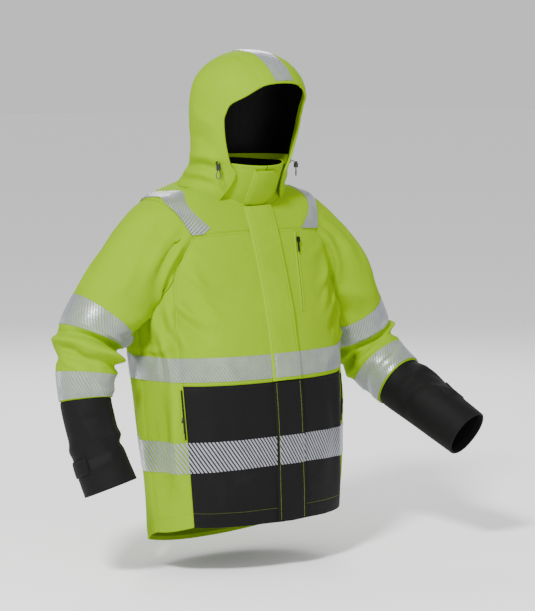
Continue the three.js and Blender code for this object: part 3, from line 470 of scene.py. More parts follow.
# the bent elbow of the right sleeve pushes out under its upper tape, with a crease running down from it
for _p, _a, _w in (([(232, .500), (268, .508), (305, .504)], 5.4, 8), ([(238, .484), (270, .486), (312, .490)], -2.0, 4.5), ([(262, .515), (300, .535), (345, .575)], -3.2, 6), ([(255, .54), (285, .565), (330, .60)], 2.6, 8),
                   ([(350, .500), (380, .53), (415, .545)], 3.6, 8), ([(345, .47), (380, .49), (420, .50)], -2.6, 6), ([(360, .575), (395, .57), (430, .565)], -2.6, 6), ([(300, .74), (320, .80), (345, .88)], 1.8, 9), ([(380, .74), (372, .82), (380, .9)], 2.0, 9)):
    ridge("right", _p, _a, _w)
for _p, _a, _w in (([(20, .545), (55, .56), (95, .565)], 3.2, 8), ([(25, .60), (60, .60), (100, .595)], -2.6, 6), ([(60, .63), (95, .635), (130, .63)], 3.0, 8), ([(20, .79), (50, .84), (80, .9)], 2.0, 9), ([(90, .78), (110, .83), (120, .9)], 1.9, 9)):
    ridge("left", _p, _a, _w)
# long soft folds of the body: down the side seam, in from the armpit and over the waist
for _p, _a, _w in (([(63, .50), (65, .43), (64, .37)], 3.4, 10), ([(74, .49), (75, .40), (72, .30)], -2.8, 9), ([(48, .60), (40, .53), (30, .47)], 2.4, 12), ([(54, .55), (46, .48), (38, .42)], -2.0, 11),
                   ([(84, .27), (86, .18), (84, .08)], -2.0, 10)):
    ridge("torso", [(-a, t) for a, t in _p], _a, _w); ridge("torso", _p, _a, _w)
# ------------------------------------------------------------------ panels of the body
def disp(S, D, th, t, off=0.0):
    P = S(th, t); N = normal(S, th, t); return P + N * (D(P) + off)[..., None]
STITCH = {}          # name -> (list of polylines in body frame, material, body or blend)
def panel(name, S, D, sgn, B, T, L, R, code, mat, off=0.0, step=4.0, roll=None, puff=1.1, nodes=(), body="coat_body", hem_groove=None):
    """a sewn panel over the four boundary lines; for sgn -1 the lines are mirrored"""
    m = lambda ps: [[(sgn * a, t) for a, t in p] for p in ps]
    B, T, L, R = [curve(S, *m(c)) for c in (B, T, L, R)]
    s = spacing((B[2] + T[2]) / 2, step, (code[0] in "SsHf", code[1] in "SsHf")); r = spacing((L[2] + R[2]) / 2, step, (code[2] in "SsHf", code[3] in "SsHf"))
    q = coons(B, T, L, R, s, r); P0 = S(q[..., 0], q[..., 1]); N = normal(S, q[..., 0], q[..., 1]); ed, uv = edges(P0)
    d = D(P0) + seam_profile(ed, code, puff) + off
    if hem_groove:
        e, dist = hem_groove; d = d - .7 * np.exp(-((ed[e] - dist) / 1.2) ** 2)
    P = P0 + N * d[..., None]
    if roll:      # turned edge at the bottom: round it under and up the inside
        rr, depth = roll; down = unit(P[0] - P[3]); Nn = N[0]; rows = []
        for k in range(1, 7):
            a = math.pi * k / 6; rows.append(P[0] + Nn * (-rr + rr * math.cos(a)) + down * (rr * math.sin(a)))
        for k in range(1, 4):
            rows.append(rows[5] - down * (depth * k / 3))
        P = np.concatenate([np.array(rows[::-1]), P], 0); e0 = uv[0][None] - np.array([0, 1])[None, None] * np.cumsum(np.full((9, 1, 1), .002), 0)[::-1]
        uv = np.concatenate([e0 * 1.0, uv], 0)
    ob = make(name, P, quads(P.shape[0], P.shape[1], sgn < 0), mat, uv)
    keep(ob, body, *nodes)
    return dict(P=P, N=N, s=s, r=r, q=q, ed=ed, ob=ob, D=D, S=S, off=off)
def side_arm(front=True):
    pass
AH = dict(
    front_low=[(60, .548), (56.7, .57), (51.6, .592), (47.6, .615), (44.5, .635), (42.3, .655)],
    front_up=[(42.3, .655), (42, .672), (44, .70), (52, .735), (61.7, .771), (75, .80), (88.7, .816)],
    under=[(60, .548), (66, .532), (78, .513), (92, .503)],
    back_low=[(92, .503), (106, .513), (118, .531), (126, .555), (132, .59), (136, .63), (137, .67), (136.3, .69)],
    back_up=[(88.7, .816), (100, .813), (112, .795), (125, .755), (134, .71), (136.3, .69)])
YO = [(2, .716), (12, .709), (24.6, .694), (35, .674), (42.3, .655)]
PAN = {}
for side, s in SIGN.items():
    PAN[side + "_low"] = panel(f"{side}_front_lower", torso, d_torso, s, [[(2, 0), (60, 0)]], [[(2, WAIST), (60, WAIST)]], [[(2, 0), (2, WAIST)]], [[(60, 0), (60, WAIST)]],
        "fSHS", BLACK, roll=(2.1, 8), nodes=(f"front_{side}_lower_panel",), hem_groove=("B", 27))
    PAN[side + "_mid"] = panel(f"{side}_front_chest", torso, d_torso, s, [[(2, WAIST), (60, WAIST)]], [YO], [[(2, WAIST), (2, .716)]], [[(60, WAIST), (60, .548)], AH["front_low"]],
        "fSsS", LIME, nodes=(f"front_{side}_panel",))
    PAN[side + "_side"] = panel(f"{side}_side", torso, d_torso, s, [[(60, 0), (92, 0)]], [AH["under"]], [[(60, 0), (60, .548)]], [[(92, 0), (92, .503)]],
        "sSHs", LIME, roll=(2.1, 8), nodes=(f"{side}_side_panel",), hem_groove=("B", 27))
    PAN[side + "_yoke"] = panel(f"{side}_front_yoke_cloth", torso, d_torso, s, [YO, AH["front_up"]], [[(2, 1), (92, 1)]], [[(2, .716), (2, 1)]], [[(88.7, .816), (92, 1)]],
        "fsss", LIME, nodes=(f"front_{side}_yoke",))
mirr = lambda p: [(360 - a, t) for a, t in p[::-1]]
rev = lambda p: p[::-1]
PAN["back"] = panel("back_body", torso, d_torso, 1, [[(92, 0), (180, 0)], [(180, 0), (268, 0)]], [[(136.3, .69), (180, .69)], [(180, .69), (223.7, .69)]],
    [[(92, 0), (92, .503)], AH["back_low"]], [[(268, 0), (268, .503)], [(360 - a, t) for a, t in AH["back_low"]]], "sSHS", LIME, roll=(2.1, 8), nodes=("back_panel",), hem_groove=("B", 27))
PAN["byoke"] = panel("back_yoke_cloth", torso, d_torso, 1, [AH["back_up"], [(136.3, .69), (223.7, .69)], mirr(AH["back_up"])], [[(92, 1), (268, 1)]],
    [[(88.7, .816), (92, 1)]], [[(271.3, .816), (268, 1)]], "sssS", LIME, nodes=("back_yoke",))

def strip(name, S, th, t, off, mat, D=None, flip=False, body="coat_body", nodes=(), extra=None):
    """plain sheet over a grid of angles and heights"""
    q0, q1 = np.meshgrid(np.asarray(th, float), np.asarray(t, float)); P0 = S(q0, q1); N = normal(S, q0, q1); d = (D(P0) if D else 0) + off
    if extra is not None: d = d + extra(q0, q1)
    P = P0 + N * (d if np.ndim(d) else np.full(q0.shape, d))[..., None]; _, uv = edges(P0)
    return keep(make(name, P, quads(P.shape[0], P.shape[1], flip), mat, uv), body, *nodes), P
# the neck seam's own allowance, between the collar's foot and the body's top edge
_th = np.linspace(0, 360, 181); _in = collar(_th, np.full(181, .04)); _out = torso(_th, np.full(181, .985)); _no = normal(torso, _th, np.full(181, .985)); _out = _out - _no * .8
_f = np.linspace(0, 1, 7)[:, None, None]; _P = _in[None] * (1 - _f) + _out[None] * _f; _P[..., 2] -= 1.2 * np.sin(np.pi * _f[..., 0])
keep(make("neck_seam_allowance", _P, quads(7, 181), LIME, edges(_P)[1]), "coat_body")
# padded lining inside the body: quilted in rows, and the turned hem's own facing below it
def quilt(th, t):
    return -1.6 * np.abs(np.sin(t * 42)) ** .5 + .8
strip("quilted_lining", torso, np.linspace(3.4, 356.6, 190), np.linspace(.062, .985, 120), -6.2, LINER, d_torso, True, nodes=("body_lining",), extra=quilt)
_, HEM_F = strip("hem_facing_cloth", torso, np.linspace(2.2, 357.8, 170), np.linspace(.006, .07, 14), -4.6, LIME_IN, d_torso, True, nodes=("hem_facing",))

# ------------------------------------------------------------------ retroreflective bars
def bars(name, fn, length, height, mat=TAPE, pitch=8.4, width=4.3, slope=.62, nl=9, body="coat_body", nodes=(), blend=None, thick=.42, close=False, lean=1):
    """fn(x mm along the band, f 0 bottom .. 1 top) -> (point, normal); slanting bars cut along the band's two edges"""
    n = int(length / pitch); pitch = length / n if close else pitch; k = int(slope * height / pitch) + 1
    x0 = np.arange(0 if close else -k, n if close else n + k + 1) * pitch; f = np.linspace(0, 1, nl)
    w = np.array([-.5, -.44, .44, .5]) * width; h = np.array([.0, thick, thick, .0])
    X = x0[:, None, None] + lean * slope * height * (1 - f)[None, :, None] + w[None, None, :]; F = np.broadcast_to(f[None, :, None], X.shape); Z = np.broadcast_to(h[None, None, :], X.shape)
    if close: X = np.mod(X, length)
    else:
        live = (X.max((1, 2)) > .8) & (X.min((1, 2)) < length - .8); X, F, Z = np.clip(X[live], 0, length), F[live], Z[live]
    P, N = fn(X, F); P = P + N * Z[..., None]; nb = P.shape[0]; qs = quads(nl, 4)
    cap = np.array([[0, 3, 2, 1], [(nl - 1) * 4 + c for c in (0, 1, 2, 3)]])
    Fc = np.vstack([np.vstack([qs, cap]) + b * nl * 4 for b in range(nb)])
    uv = np.stack([X, F * height], -1) / 1000
    ob = make(name, P, Fc, mat, uv, smooth=False)
    return keep(ob, body, *nodes)
def torso_band(t0, t1, a0, a1, off=.35):
    th = np.linspace(a0, a1, 500); P = torso(th, np.full(500, (t0 + t1) / 2)); L = np.r_[0, np.cumsum(np.linalg.norm(np.diff(P, axis=0), axis=1))]
    hgt = np.linalg.norm(torso(np.array(30.), np.array(t1)) - torso(np.array(30.), np.array(t0)))
    def fn(x, f):
        a = np.interp(x, L, th); t = t0 + (t1 - t0) * f; P0 = torso(a, t); N = normal(torso, a, t); return P0 + N * (d_torso(P0) + 1.1 + off)[..., None], N
    return fn, L[-1], hgt
for nm, (t0, t1), nodes in (("lower_band", TAPE_LOW, ("lower_body_tape",)), ("waist_band", TAPE_WAIST, ("waist_body_tape",))):
    fn, L, hg = torso_band(t0, t1, 4.5, 355.5); bars(nm, fn, L, hg, nodes=nodes, pitch=7.6 if nm == "lower_band" else 6.5, width=4.6 if nm == "lower_band" else 4.8)
INNER = np.array([(24.6, .702), (38, .765), (55, .845), (75.7, .927), (92, .93), (118, .87), (140, .79), (152, .70)], float)
OUTER = np.array([(44.6, .702), (53, .735), (62, .771), (86, .835), (96, .835), (110, .80), (122, .75), (130, .70)], float)
INNER[0] = (24.6, .694); OUTER[0] = (42.6, .665)
for side, s in SIGN.items():
    vv = np.linspace(0, 1, 200); mid = (row_at(INNER, vv) + row_at(OUTER, vv)) / 2; Pm = torso(mid[:, 0], mid[:, 1]); Ls = np.r_[0, np.cumsum(np.linalg.norm(np.diff(Pm, axis=0), axis=1))]
    def fn(x, f, s=s):
        v = np.interp(x, Ls, vv); p, q = row_at(INNER, v), row_at(OUTER, v); g = (1 - f) if s < 0 else f
        m = p + (q - p) * g[..., None]; P0 = torso(s * m[..., 0], m[..., 1]); N = normal(torso, s * m[..., 0], m[..., 1]); return P0 + N * (d_torso(P0) + 1.6)[..., None], N
    bars(f"{side}_shoulder_band", fn, Ls[-1], 50, nodes=(f"{side}_shoulder_tape",), slope=-.62 if s < 0 else .62, pitch=6.3, width=4.8)

# ------------------------------------------------------------------ sleeves
def sleeve(side):
    s = SIGN[side]; S, fr, path = ARMS[side]; k = SLV[side]; D = d_arm(side)
    # armhole line, from the top forward, under and back up
    loop = curve(torso, *[[(s * a, t) for a, t in p] for p in (AH["front_up"][::-1], AH["front_low"][::-1], AH["under"], AH["back_low"], AH["back_up"][::-1])])
    # angle round the sleeve that each quarter of the armhole meets
    nu = 133; top, fro, und, bak = (270, 360, 450, 540) if s < 0 else (90, 0, -90, -180)
    key_w = []
    for a, t in ((88.7, .816), (42, .672), (92, .503), (136.5, .65)):
        d = np.abs(loop[0][:, 0] - s * a) / 90 + np.abs(loop[0][:, 1] - t); key_w.append(loop[1][np.argmin(d)])
    w = np.linspace(0, 1, nu); key_w = [0, key_w[1], key_w[2], key_w[3], 1]; u = np.interp(w, key_w, [top, fro, und, bak, top + (360 if s < 0 else -360)])
    q = at(loop, w); A = torso(q[:, 0], q[:, 1]); NA = normal(torso, q[:, 0], q[:, 1]); A = A + NA * (d_torso(A) - 1.6)[:, None]
    A[-1] = A[0]
    tan = unit(np.roll(A[:-1], -1, 0) - np.roll(A[:-1], 1, 0)); tan = np.vstack([tan, tan[:1]])
    inn = unit(np.cross(tan, NA)); cen = A[:-1].mean(0); inn = inn * np.sign(((cen - A) * inn).sum(1))[:, None]
    ang = (u - top) * (1 if s < 0 else -1)     # 0 top, 90 front, 180 under, 270 back
    kk = np.interp(ang, [0, 50, 90, 135, 180, 225, 270, 310, 360], [.93, .9, .8, .35, .12, .35, .75, .9, .93])
    TA = unit(kk[:, None] * inn + (1 - kk)[:, None] * NA)
    v0 = .30; B = S(u, np.full(nu, v0)); B1 = S(u, np.full(nu, v0 + .01)); TB = unit(B1 - B)
    dist = np.linalg.norm(B - A, axis=1); mag = np.interp(ang, [0, 90, 180, 270, 360], [1.15, 1.0, .9, 1.0, 1.15])
    sp = spacing(dist.mean(), 4.5, (True, False))
    rows = []
    for f in sp:
        h00, h10, h01, h11 = 2*f**3 - 3*f*f + 1, f**3 - 2*f*f + f, -2*f**3 + 3*f*f, f**3 - f*f
        rows.append(h00 * A + (h10 * dist * mag)[:, None] * TA + h01 * B + (h11 * dist)[:, None] * TB)
    hg_ = np.array(rows)
    def on_head(pts):
        q = row_at(np.array(pts, float), np.linspace(0, 1, 14)); return np.array([hg_[int(np.clip(f, 0, 1) * (len(hg_) - 1)), int(np.argmin(np.abs(ang - a)))] for a, f in q])
    for pts, amp, wd in (([(98, .12), (112, .5), (130, .95)], 6.0, 8), ([(120, .10), (134, .5), (148, .95)], -5.5, 7), ([(142, .08), (153, .5), (163, .95)], 5.5, 8), ([(78, .2), (92, .55), (106, .95)], -3.4, 10),
                         ([(252, .15), (238, .5), (224, .95)], 5.5, 9), ([(230, .12), (215, .5), (203, .95)], -5.0, 8), ([(20, .2), (36, .6), (52, .95)], 3.0, 14), ([(300, .2), (310, .6), (322, .95)], 3.0, 14), ([(60, .25), (66, .6), (80, .95)], 3.0, 11)):
        RIDGES[side].append((on_head(pts), amp, wd))
    head = np.concatenate([(A - inn * 4.0 - NA * 2.6)[None], (A - inn * 1.4 - NA * 1.3)[None], np.array(rows)], 0); v_split = (k["tape1"][0] + k["tape1"][1]) / 2 - .004
    vs = np.linspace(v0, v_split, max(3, int((v_split - v0) * 60)))[1:]
    U, V = np.meshgrid(u, vs); P = np.concatenate([head, S(U, V)], 0)
    def finish(P, nm, body_blend, mat, code_first, nodes, roll=None, code_last="o", D=D):
        gu = np.concatenate([P[:, -2:-1], P, P[:, 1:2]], 1); du = gu[:, 2:] - gu[:, :-2]; dv = np.gradient(P, axis=0); N = unit(np.cross(du, dv))
        out = unit((P - P.mean(1, keepdims=True))); N = N * np.sign((N * out).sum(-1).mean())
        ed, uv = edges(P); sm = np.clip(ed["B"] / 22, 0, 1) ** 2 if code_first == "S" else 1
        d = D(P) * sm + seam_profile(ed, "oo" + code_first + code_last, 1.0)
        d[:, -1] = d[:, 0]
        Q = P + N * d[..., None]
        if roll:
            down = unit(Q[-1] - Q[-4]); rr, depth = roll; add = [Q[-1] + N[-1] * (-rr + rr * math.cos(math.pi * i / 6)) + down * (rr * math.sin(math.pi * i / 6)) for i in range(1, 7)]
            add += [add[5] - down * (depth * i / 4) for i in range(1, 5)]; Q = np.concatenate([Q, np.array(add)], 0); uv = np.concatenate([uv, uv[-1][None] + np.cumsum(np.full((10, 1, 2), .002), 0) * np.array([0, 1])], 0)
        nv, nn = Q.shape[:2]; flip = np.sign((np.cross(du, dv) * out).sum(-1).mean()) < 0
        ob = make(nm, Q, quads(nv, nn, flip), mat, uv, weld=.01); OBJ[nm] = ob
        if nodes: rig.replaces(ob, *nodes)
        return ob, Q, N
    headob, Q, _ = finish(P, f"{side}_sleeve_head", None, LIME, "S", (f"{side}_upper_sleeve",))
    bod, up, fo = "coat_body", f"{side}_upper_sleeve", f"{side}_forearm_sleeve"
    ax = np.array([-203, 5, 652.]) if s < 0 else np.array([208, 5, 650.])
    # the turn is spread over the strip between the armhole seam and the upper tape, so neither edge leaves its neighbour
    dr = np.array([s * .990, 0, -.139]); c0 = A.mean(0); c0 = c0 - dr * (c0 @ dr)
    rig.blend(headob, bod, up, row(c0 + dr * (float((A @ dr).max()) - 3)), row(c0 + dr * (float((S(u, np.full(nu, v_split)) @ dr).min()) + 1)))
    # lower part of the arm, down to the black cuff
    vs = np.concatenate([np.linspace(v_split - .004, k["black"] - .014, 78), k["black"] - .014 + .0132 * np.array([.35, .6, .8, .92, 1])])
    U, V = np.meshgrid(u, vs); lowob, Ql, Nl = finish(S(U, V), f"{side}_forearm_cloth", None, LIME, "o", (f"{side}_forearm_sleeve",), code_last="s")
    pe, t_e = row_at(path, k["elbow"]), fr(np.array(k["elbow"]))[0]
    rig.blend(lowob, up, fo, row(pe - t_e * 34), row(pe + t_e * 34))
    # black cuff
    vs = np.concatenate([k["black"] + .0006 + .014 * np.array([0, .08, .2, .4, .65, 1]), np.linspace(k["black"] + .015, .985, 40)[1:], [.990, .994, .9975, 1.0]])
    U, V = np.meshgrid(u, vs); cuff, Qc, Nc = finish(S(U, V), f"{side}_cuff_cloth", None, BLACK, "s", (f"{side}_cuff_sleeve",), roll=(2.2, 60), code_last="f")
    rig.ride(cuff, fo)
    # dark lining seen inside the cuff
    vs = np.linspace(.86, .985, 12); U, V = np.meshgrid(u, vs); P = S(U, V, -7.5); _, uv = edges(P)
    keep(make(f"{side}_cuff_lining", P, quads(*P.shape[:2], s < 0 and False or s > 0), LINER, uv, weld=.01), fo)
    # reflective bands
    for i, (nm, (a, b), body) in enumerate((("upper", k["tape1"], up), ("lower", k["tape2"], fo))):
        per = 2 * math.pi * float(row_at(R_ARM[:, 3:4] if s < 0 else L_ARM[:, 3:4], (a + b) / 2)[0]); hg = float(np.linalg.norm(row_at(path, b) - row_at(path, a)))
        def fn(x, f, a=a, b=b, per=per):
            uu = x / per * 360 * s * -1; v = b + (a - b) * f; P0 = S(uu, v); c = row_at(path, v); N = unit(P0 - c); return P0 + N * (D(P0) + 1.0 + .5)[..., None], N
        bars(f"{side}_{nm}_arm_band", fn, per, hg, body=body, nodes=(f"{side}_{nm}_sleeve_tape",), close=True, lean=1, nl=8, pitch=6.4, width=4.9)
    return dict(A=A, u=u, Q=Q, Ql=Ql, Qc=Qc, head=headob)
SL = {side: sleeve(side) for side in SIGN}

# ------------------------------------------------------------------ hood
def chart(p):      # (theta, t) -> planar chart with the crown in the middle
    p = np.asarray(p, float); rho = 1 - p[..., 1]; return np.stack([rho * np.sin(p[..., 0] * D2R), -rho * np.cos(p[..., 0] * D2R)], -1)
def unchart(c):
    rho = np.hypot(c[..., 0], c[..., 1]); return np.degrees(np.arctan2(c[..., 0], -c[..., 1])), 1 - rho
def hood_c(x, y):
    th, t = unchart(np.stack([x, y], -1)); return hood(th, np.clip(t, 0, 1))
EDGE = [(39.6, .004), (36.5, .06), (34.6, .112), (36, .168), (45, .201), (52, .246), (58.5, .31), (62.7, .391), (61.7, .43), (57.7, .475), (43.6, .52), (26.6, .573), (13, .589), (0, .593)]
def hood_half():
    E = chart(row_at(np.array(EDGE, float), np.linspace(0, 1, 300))); bot = chart(np.stack([np.linspace(39.6, 180, 200), np.linspace(.004, 0, 200)], -1))
    right = chart(np.stack([np.full(100, 180.), np.linspace(0, .5, 100)], -1)); topl = np.stack([np.zeros(300), np.linspace(-.407, .5, 300)], -1)
    mk = lambda c: (c, (lambda L: L / L[-1])(np.r_[0, np.cumsum(np.linalg.norm(np.diff(hood_c(c[:, 0], c[:, 1]), axis=0), axis=1) + 1e-9)]), 1)
    B, T, L, R = mk(bot), mk(topl), mk(E), mk(right)
    s = spacing(330, 4.2, (True, False)); r = np.linspace(0, 1, 84); r = np.sort(np.r_[r, .003, .007]); return coons(B, T, L, R, s, r), s, r
C, hs, hr = hood_half(); eps = 2e-3
def hood_pos(C):
    P = hood_c(C[..., 0], C[..., 1]); a = hood_c(C[..., 0] + eps, C[..., 1]) - hood_c(C[..., 0] - eps, C[..., 1]); b = hood_c(C[..., 0], C[..., 1] + eps) - hood_c(C[..., 0], C[..., 1] - eps)
    N = unit(np.cross(a, b)); o = P - np.array([0, -30, 800.]); N = N * np.sign((N * o).sum(-1, keepdims=True)); return P, N
HP, HN = hood_pos(C); hed, huv = edges(HP)
def hood_disp(P, ed):
    dx = np.abs(P[..., 0]); back = (P[..., 1] > -60) | (P[..., 2] > 850)
    g = -1.5 * np.exp(-((dx - 55) / 1.8) ** 2) - .5 * np.exp(-((dx - 49.5) / 1.1) ** 2)
    return d_hood(P) * np.clip(ed["L"] / 30, 0.15, 1) + g * back - .7 * np.exp(-((ed["L"] - 22) / 1.2) ** 2) + 2.6 * np.exp(-(ed["B"] / 14) ** 2) + 1.0
hd = hood_disp(HP, hed); HQ = HP + HN * hd[..., None]; HQ[0] = HQ[3] + (HP[0] - HP[3]) + unit(HQ[0] - HQ[6]) * 5.0 + HN[0] * .6; HQ[1] = HQ[3] * .62 + HQ[0] * .38; HQ[2] = HQ[3] * .85 + HQ[0] * .15
HS, HE = row((0, 0, 702)), row((0, 0, 800))
def hood_obj(name, P, uv, mat, nodes, cut=None, inward=False):
    obs = []
    V = []; Fs = []; UV = []
    for s in (1, -1):
        Pm = P * np.array([s, 1, 1]); base = len(V) and sum(len(x) for x in V) or 0
        V.append(Pm.reshape(-1, 3)); UV.append((uv * np.array([s, 1])).reshape(-1, 2)); Fs.append(quads(P.shape[0], P.shape[1], (s < 0) != inward, base))
    V = np.vstack(V); UV = np.vstack(UV); Fs = np.vstack(Fs)
    ob = make(name, V, Fs, mat, UV)
    bm = bmesh.new(); bm.from_mesh(ob.data); bmesh.ops.remove_doubles(bm, verts=bm.verts, dist=2e-5)
    if cut is not None:
        for x in cut[1]:
            for sg in (-1, 1): bmesh.ops.bisect_plane(bm, geom=list(bm.verts) + list(bm.edges) + list(bm.faces), plane_co=(sg * x / 1000, 0, 0), plane_no=(1, 0, 0), dist=1e-7)
        bmesh.ops.bisect_plane(bm, geom=list(bm.verts) + list(bm.edges) + list(bm.faces), plane_co=(0, 0, (BAND_Z - H[2]) / 1000), plane_no=(0, 0, 1), dist=1e-7)
        lo, hi, zl, zh = cut[0]
        dead = [f for f in bm.faces if not (lo <= f.calc_center_median().x * 1000 <= hi and zl <= f.calc_center_median().z * 1000 + H[2] <= zh)]
        bmesh.ops.delete(bm, geom=dead, context="FACES")
    bm.to_mesh(ob.data); bm.free(); ob.data.polygons.foreach_set("use_smooth", [True] * len(ob.data.polygons)); ob.data.update()
    OBJ[name] = ob
    if nodes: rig.replaces(ob, *nodes)
    return ob
# brim: the outer cloth rolls over the edge into its facing
E0, EN = HQ[:, 0], HN[:, 0]; outw = unit(HQ[:, 0] - HQ[:, 3]); rr = 2.6
roll = [E0 + EN * (-rr + rr * math.cos(math.pi * k / 6)) + outw * (rr * math.sin(math.pi * k / 6)) for k in range(6, 0, -1)]
HQ_out = np.concatenate([np.stack(roll, 1), HQ], 1); uvo = np.concatenate([huv[:, :1] - np.linspace(.012, .002, 6)[None, :, None] * np.array([1, 0]), huv], 1)
CUTS = [55.0]; BAND_Z = 733.0
hc = hood_obj("hood_centre_cloth", HQ_out, uvo, LIME, ("hood_centre_panel",), cut=((-55, 55, BAND_Z, 2000), CUTS))
hr_ = hood_obj("hood_right_cloth", HQ_out, uvo, LIME, ("hood_right_panel",), cut=((-400, -55, BAND_Z, 2000), CUTS))
hl_ = hood_obj("hood_left_cloth", HQ_out, uvo, LIME, ("hood_left_panel",), cut=((55, 400, BAND_Z, 2000), CUTS))
hb_ = hood_obj("hood_band_cloth", HQ_out, uvo, LIME, ("hood_neck_band",), cut=((-400, 400, 0, BAND_Z), []))
kf = int(np.argmin(np.abs(hs * 330 - 30))); inner = HQ + HN * (-(2 * rr) - .0)
facing = hood_obj("hood_facing_cloth", inner[:, :kf + 1], huv[:, :kf + 1], LIME, ("hood_face_facing",), inward=True)
kl = kf - 2; lin_d = -(2 * rr) - .9 - 1.2 * np.clip((hed["L"] - 26) / 10, 0, 1)
lining = hood_obj("hood_lining_cloth", (HP + HN * (hd * .6 + lin_d)[..., None])[:, kl:], huv[:, kl:], LINER, ("hood_lining",), inward=True, cut=((-400, 400, BAND_Z, 2000), []))
band_in = hood_obj("hood_band_inside", (HP + HN * (hd * .6 + lin_d)[..., None])[:, kl:], huv[:, kl:], LIME, (), inward=True, cut=((-400, 400, 0, BAND_Z), []))
hood_parts = [hc, hr_, hl_, hb_, facing, lining, band_in]
dg = bpy.context.evaluated_depsgraph_get()
def tree_of(*obs):
    V = []; Fs = []
    for o in obs:
        b = len(V); V += [tuple(o.matrix_world @ v.co) for v in o.data.vertices]; Fs += [tuple(i + b for i in p.vertices) for p in o.data.polygons]
    return BVHTree.FromPolygons(V, Fs)
hood_tree = tree_of(hc, hr_, hl_, hb_)
def cast(tree, P, d):
    """body-frame points fired along d onto a mesh; returns points and outward normals"""
    sh = P.shape; P = P.reshape(-1, 3); d = np.broadcast_to(d, sh).reshape(-1, 3); O = np.zeros_like(P); N = np.zeros_like(P)
    for i in range(len(P)):
        h = tree.ray_cast(Vector(row(P[i])), Vector(d[i]), .4)
        if h[0] is None: O[i] = P[i] + d[i] * 60; N[i] = -d[i]
        else:
            O[i] = np.array(h[0]) * 1000 + H; n = np.array(h[1]); N[i] = n if n @ d[i] < 0 else -n
    return O.reshape(sh), N.reshape(sh)
# tape over the crown, from the brim back
prof_c = np.linspace(-.402, .36, 300); PC = hood_c(np.zeros(300), prof_c); LC = np.r_[0, np.cumsum(np.linalg.norm(np.diff(PC, axis=0), axis=1))]
def crown(x, f):
    y = np.interp(x, LC, prof_c); P0, N0 = hood_pos(np.stack([np.zeros_like(y), y], -1)); off = (f - .5) * 48; st = P0 + np.stack([off, 0 * off, 0 * off], -1) + N0 * 60
    P, N = cast(hood_tree, st, -N0); return P + N0 * .45, N0
bars("crown_band", crown, LC[-1], 48, body="hood", nodes=("hood_crown_tape",), nl=7, slope=.62, pitch=6.0, width=4.4)

# ------------------------------------------------------------------ collar
vC = np.linspace(0, 1, 26); aC = np.concatenate([[.5, 1.2, 2.2, 3.6], np.linspace(5, 355, 150), [356.4, 357.8, 358.8, 359.5]])
q0, q1 = np.meshgrid(aC, vC); PCo = collar(q0, q1); NCo = normal(collar, q0, q1); dcol = .5 - .5 * np.exp(-(((1 - q1) * 85 - 6) / 1.2) ** 2) + wavy(PCo, 70, .5)
PCo = PCo + NCo * dcol[..., None]; up = unit(PCo[-1] - PCo[-3]); rr = 2.3
rl = [PCo[-1] + NCo[-1] * (-rr + rr * math.cos(math.pi * k / 6)) + up * (rr * math.sin(math.pi * k / 6)) for k in range(1, 7)]
foot = [PCo[0] - up * 9 - NCo[0] * 2.5, PCo[0] - up * 4 - NCo[0] * .8]; Pc = np.concatenate([np.array(foot), PCo, np.array(rl)], 0); _, uv = edges(Pc)
keep(make("collar_cloth", Pc, quads(*Pc.shape[:2]), LIME, uv), "coat_body", "collar_shell")
Pi = np.concatenate([PCo[:1] - NCo[:1] * 4.6 - np.array([0, 0, 16.]), PCo - NCo * 4.6], 0); _, uv = edges(Pi)
keep(make("collar_lining_cloth", Pi, quads(*Pi.shape[:2], True), LINER, uv), "coat_body", "collar_lining")

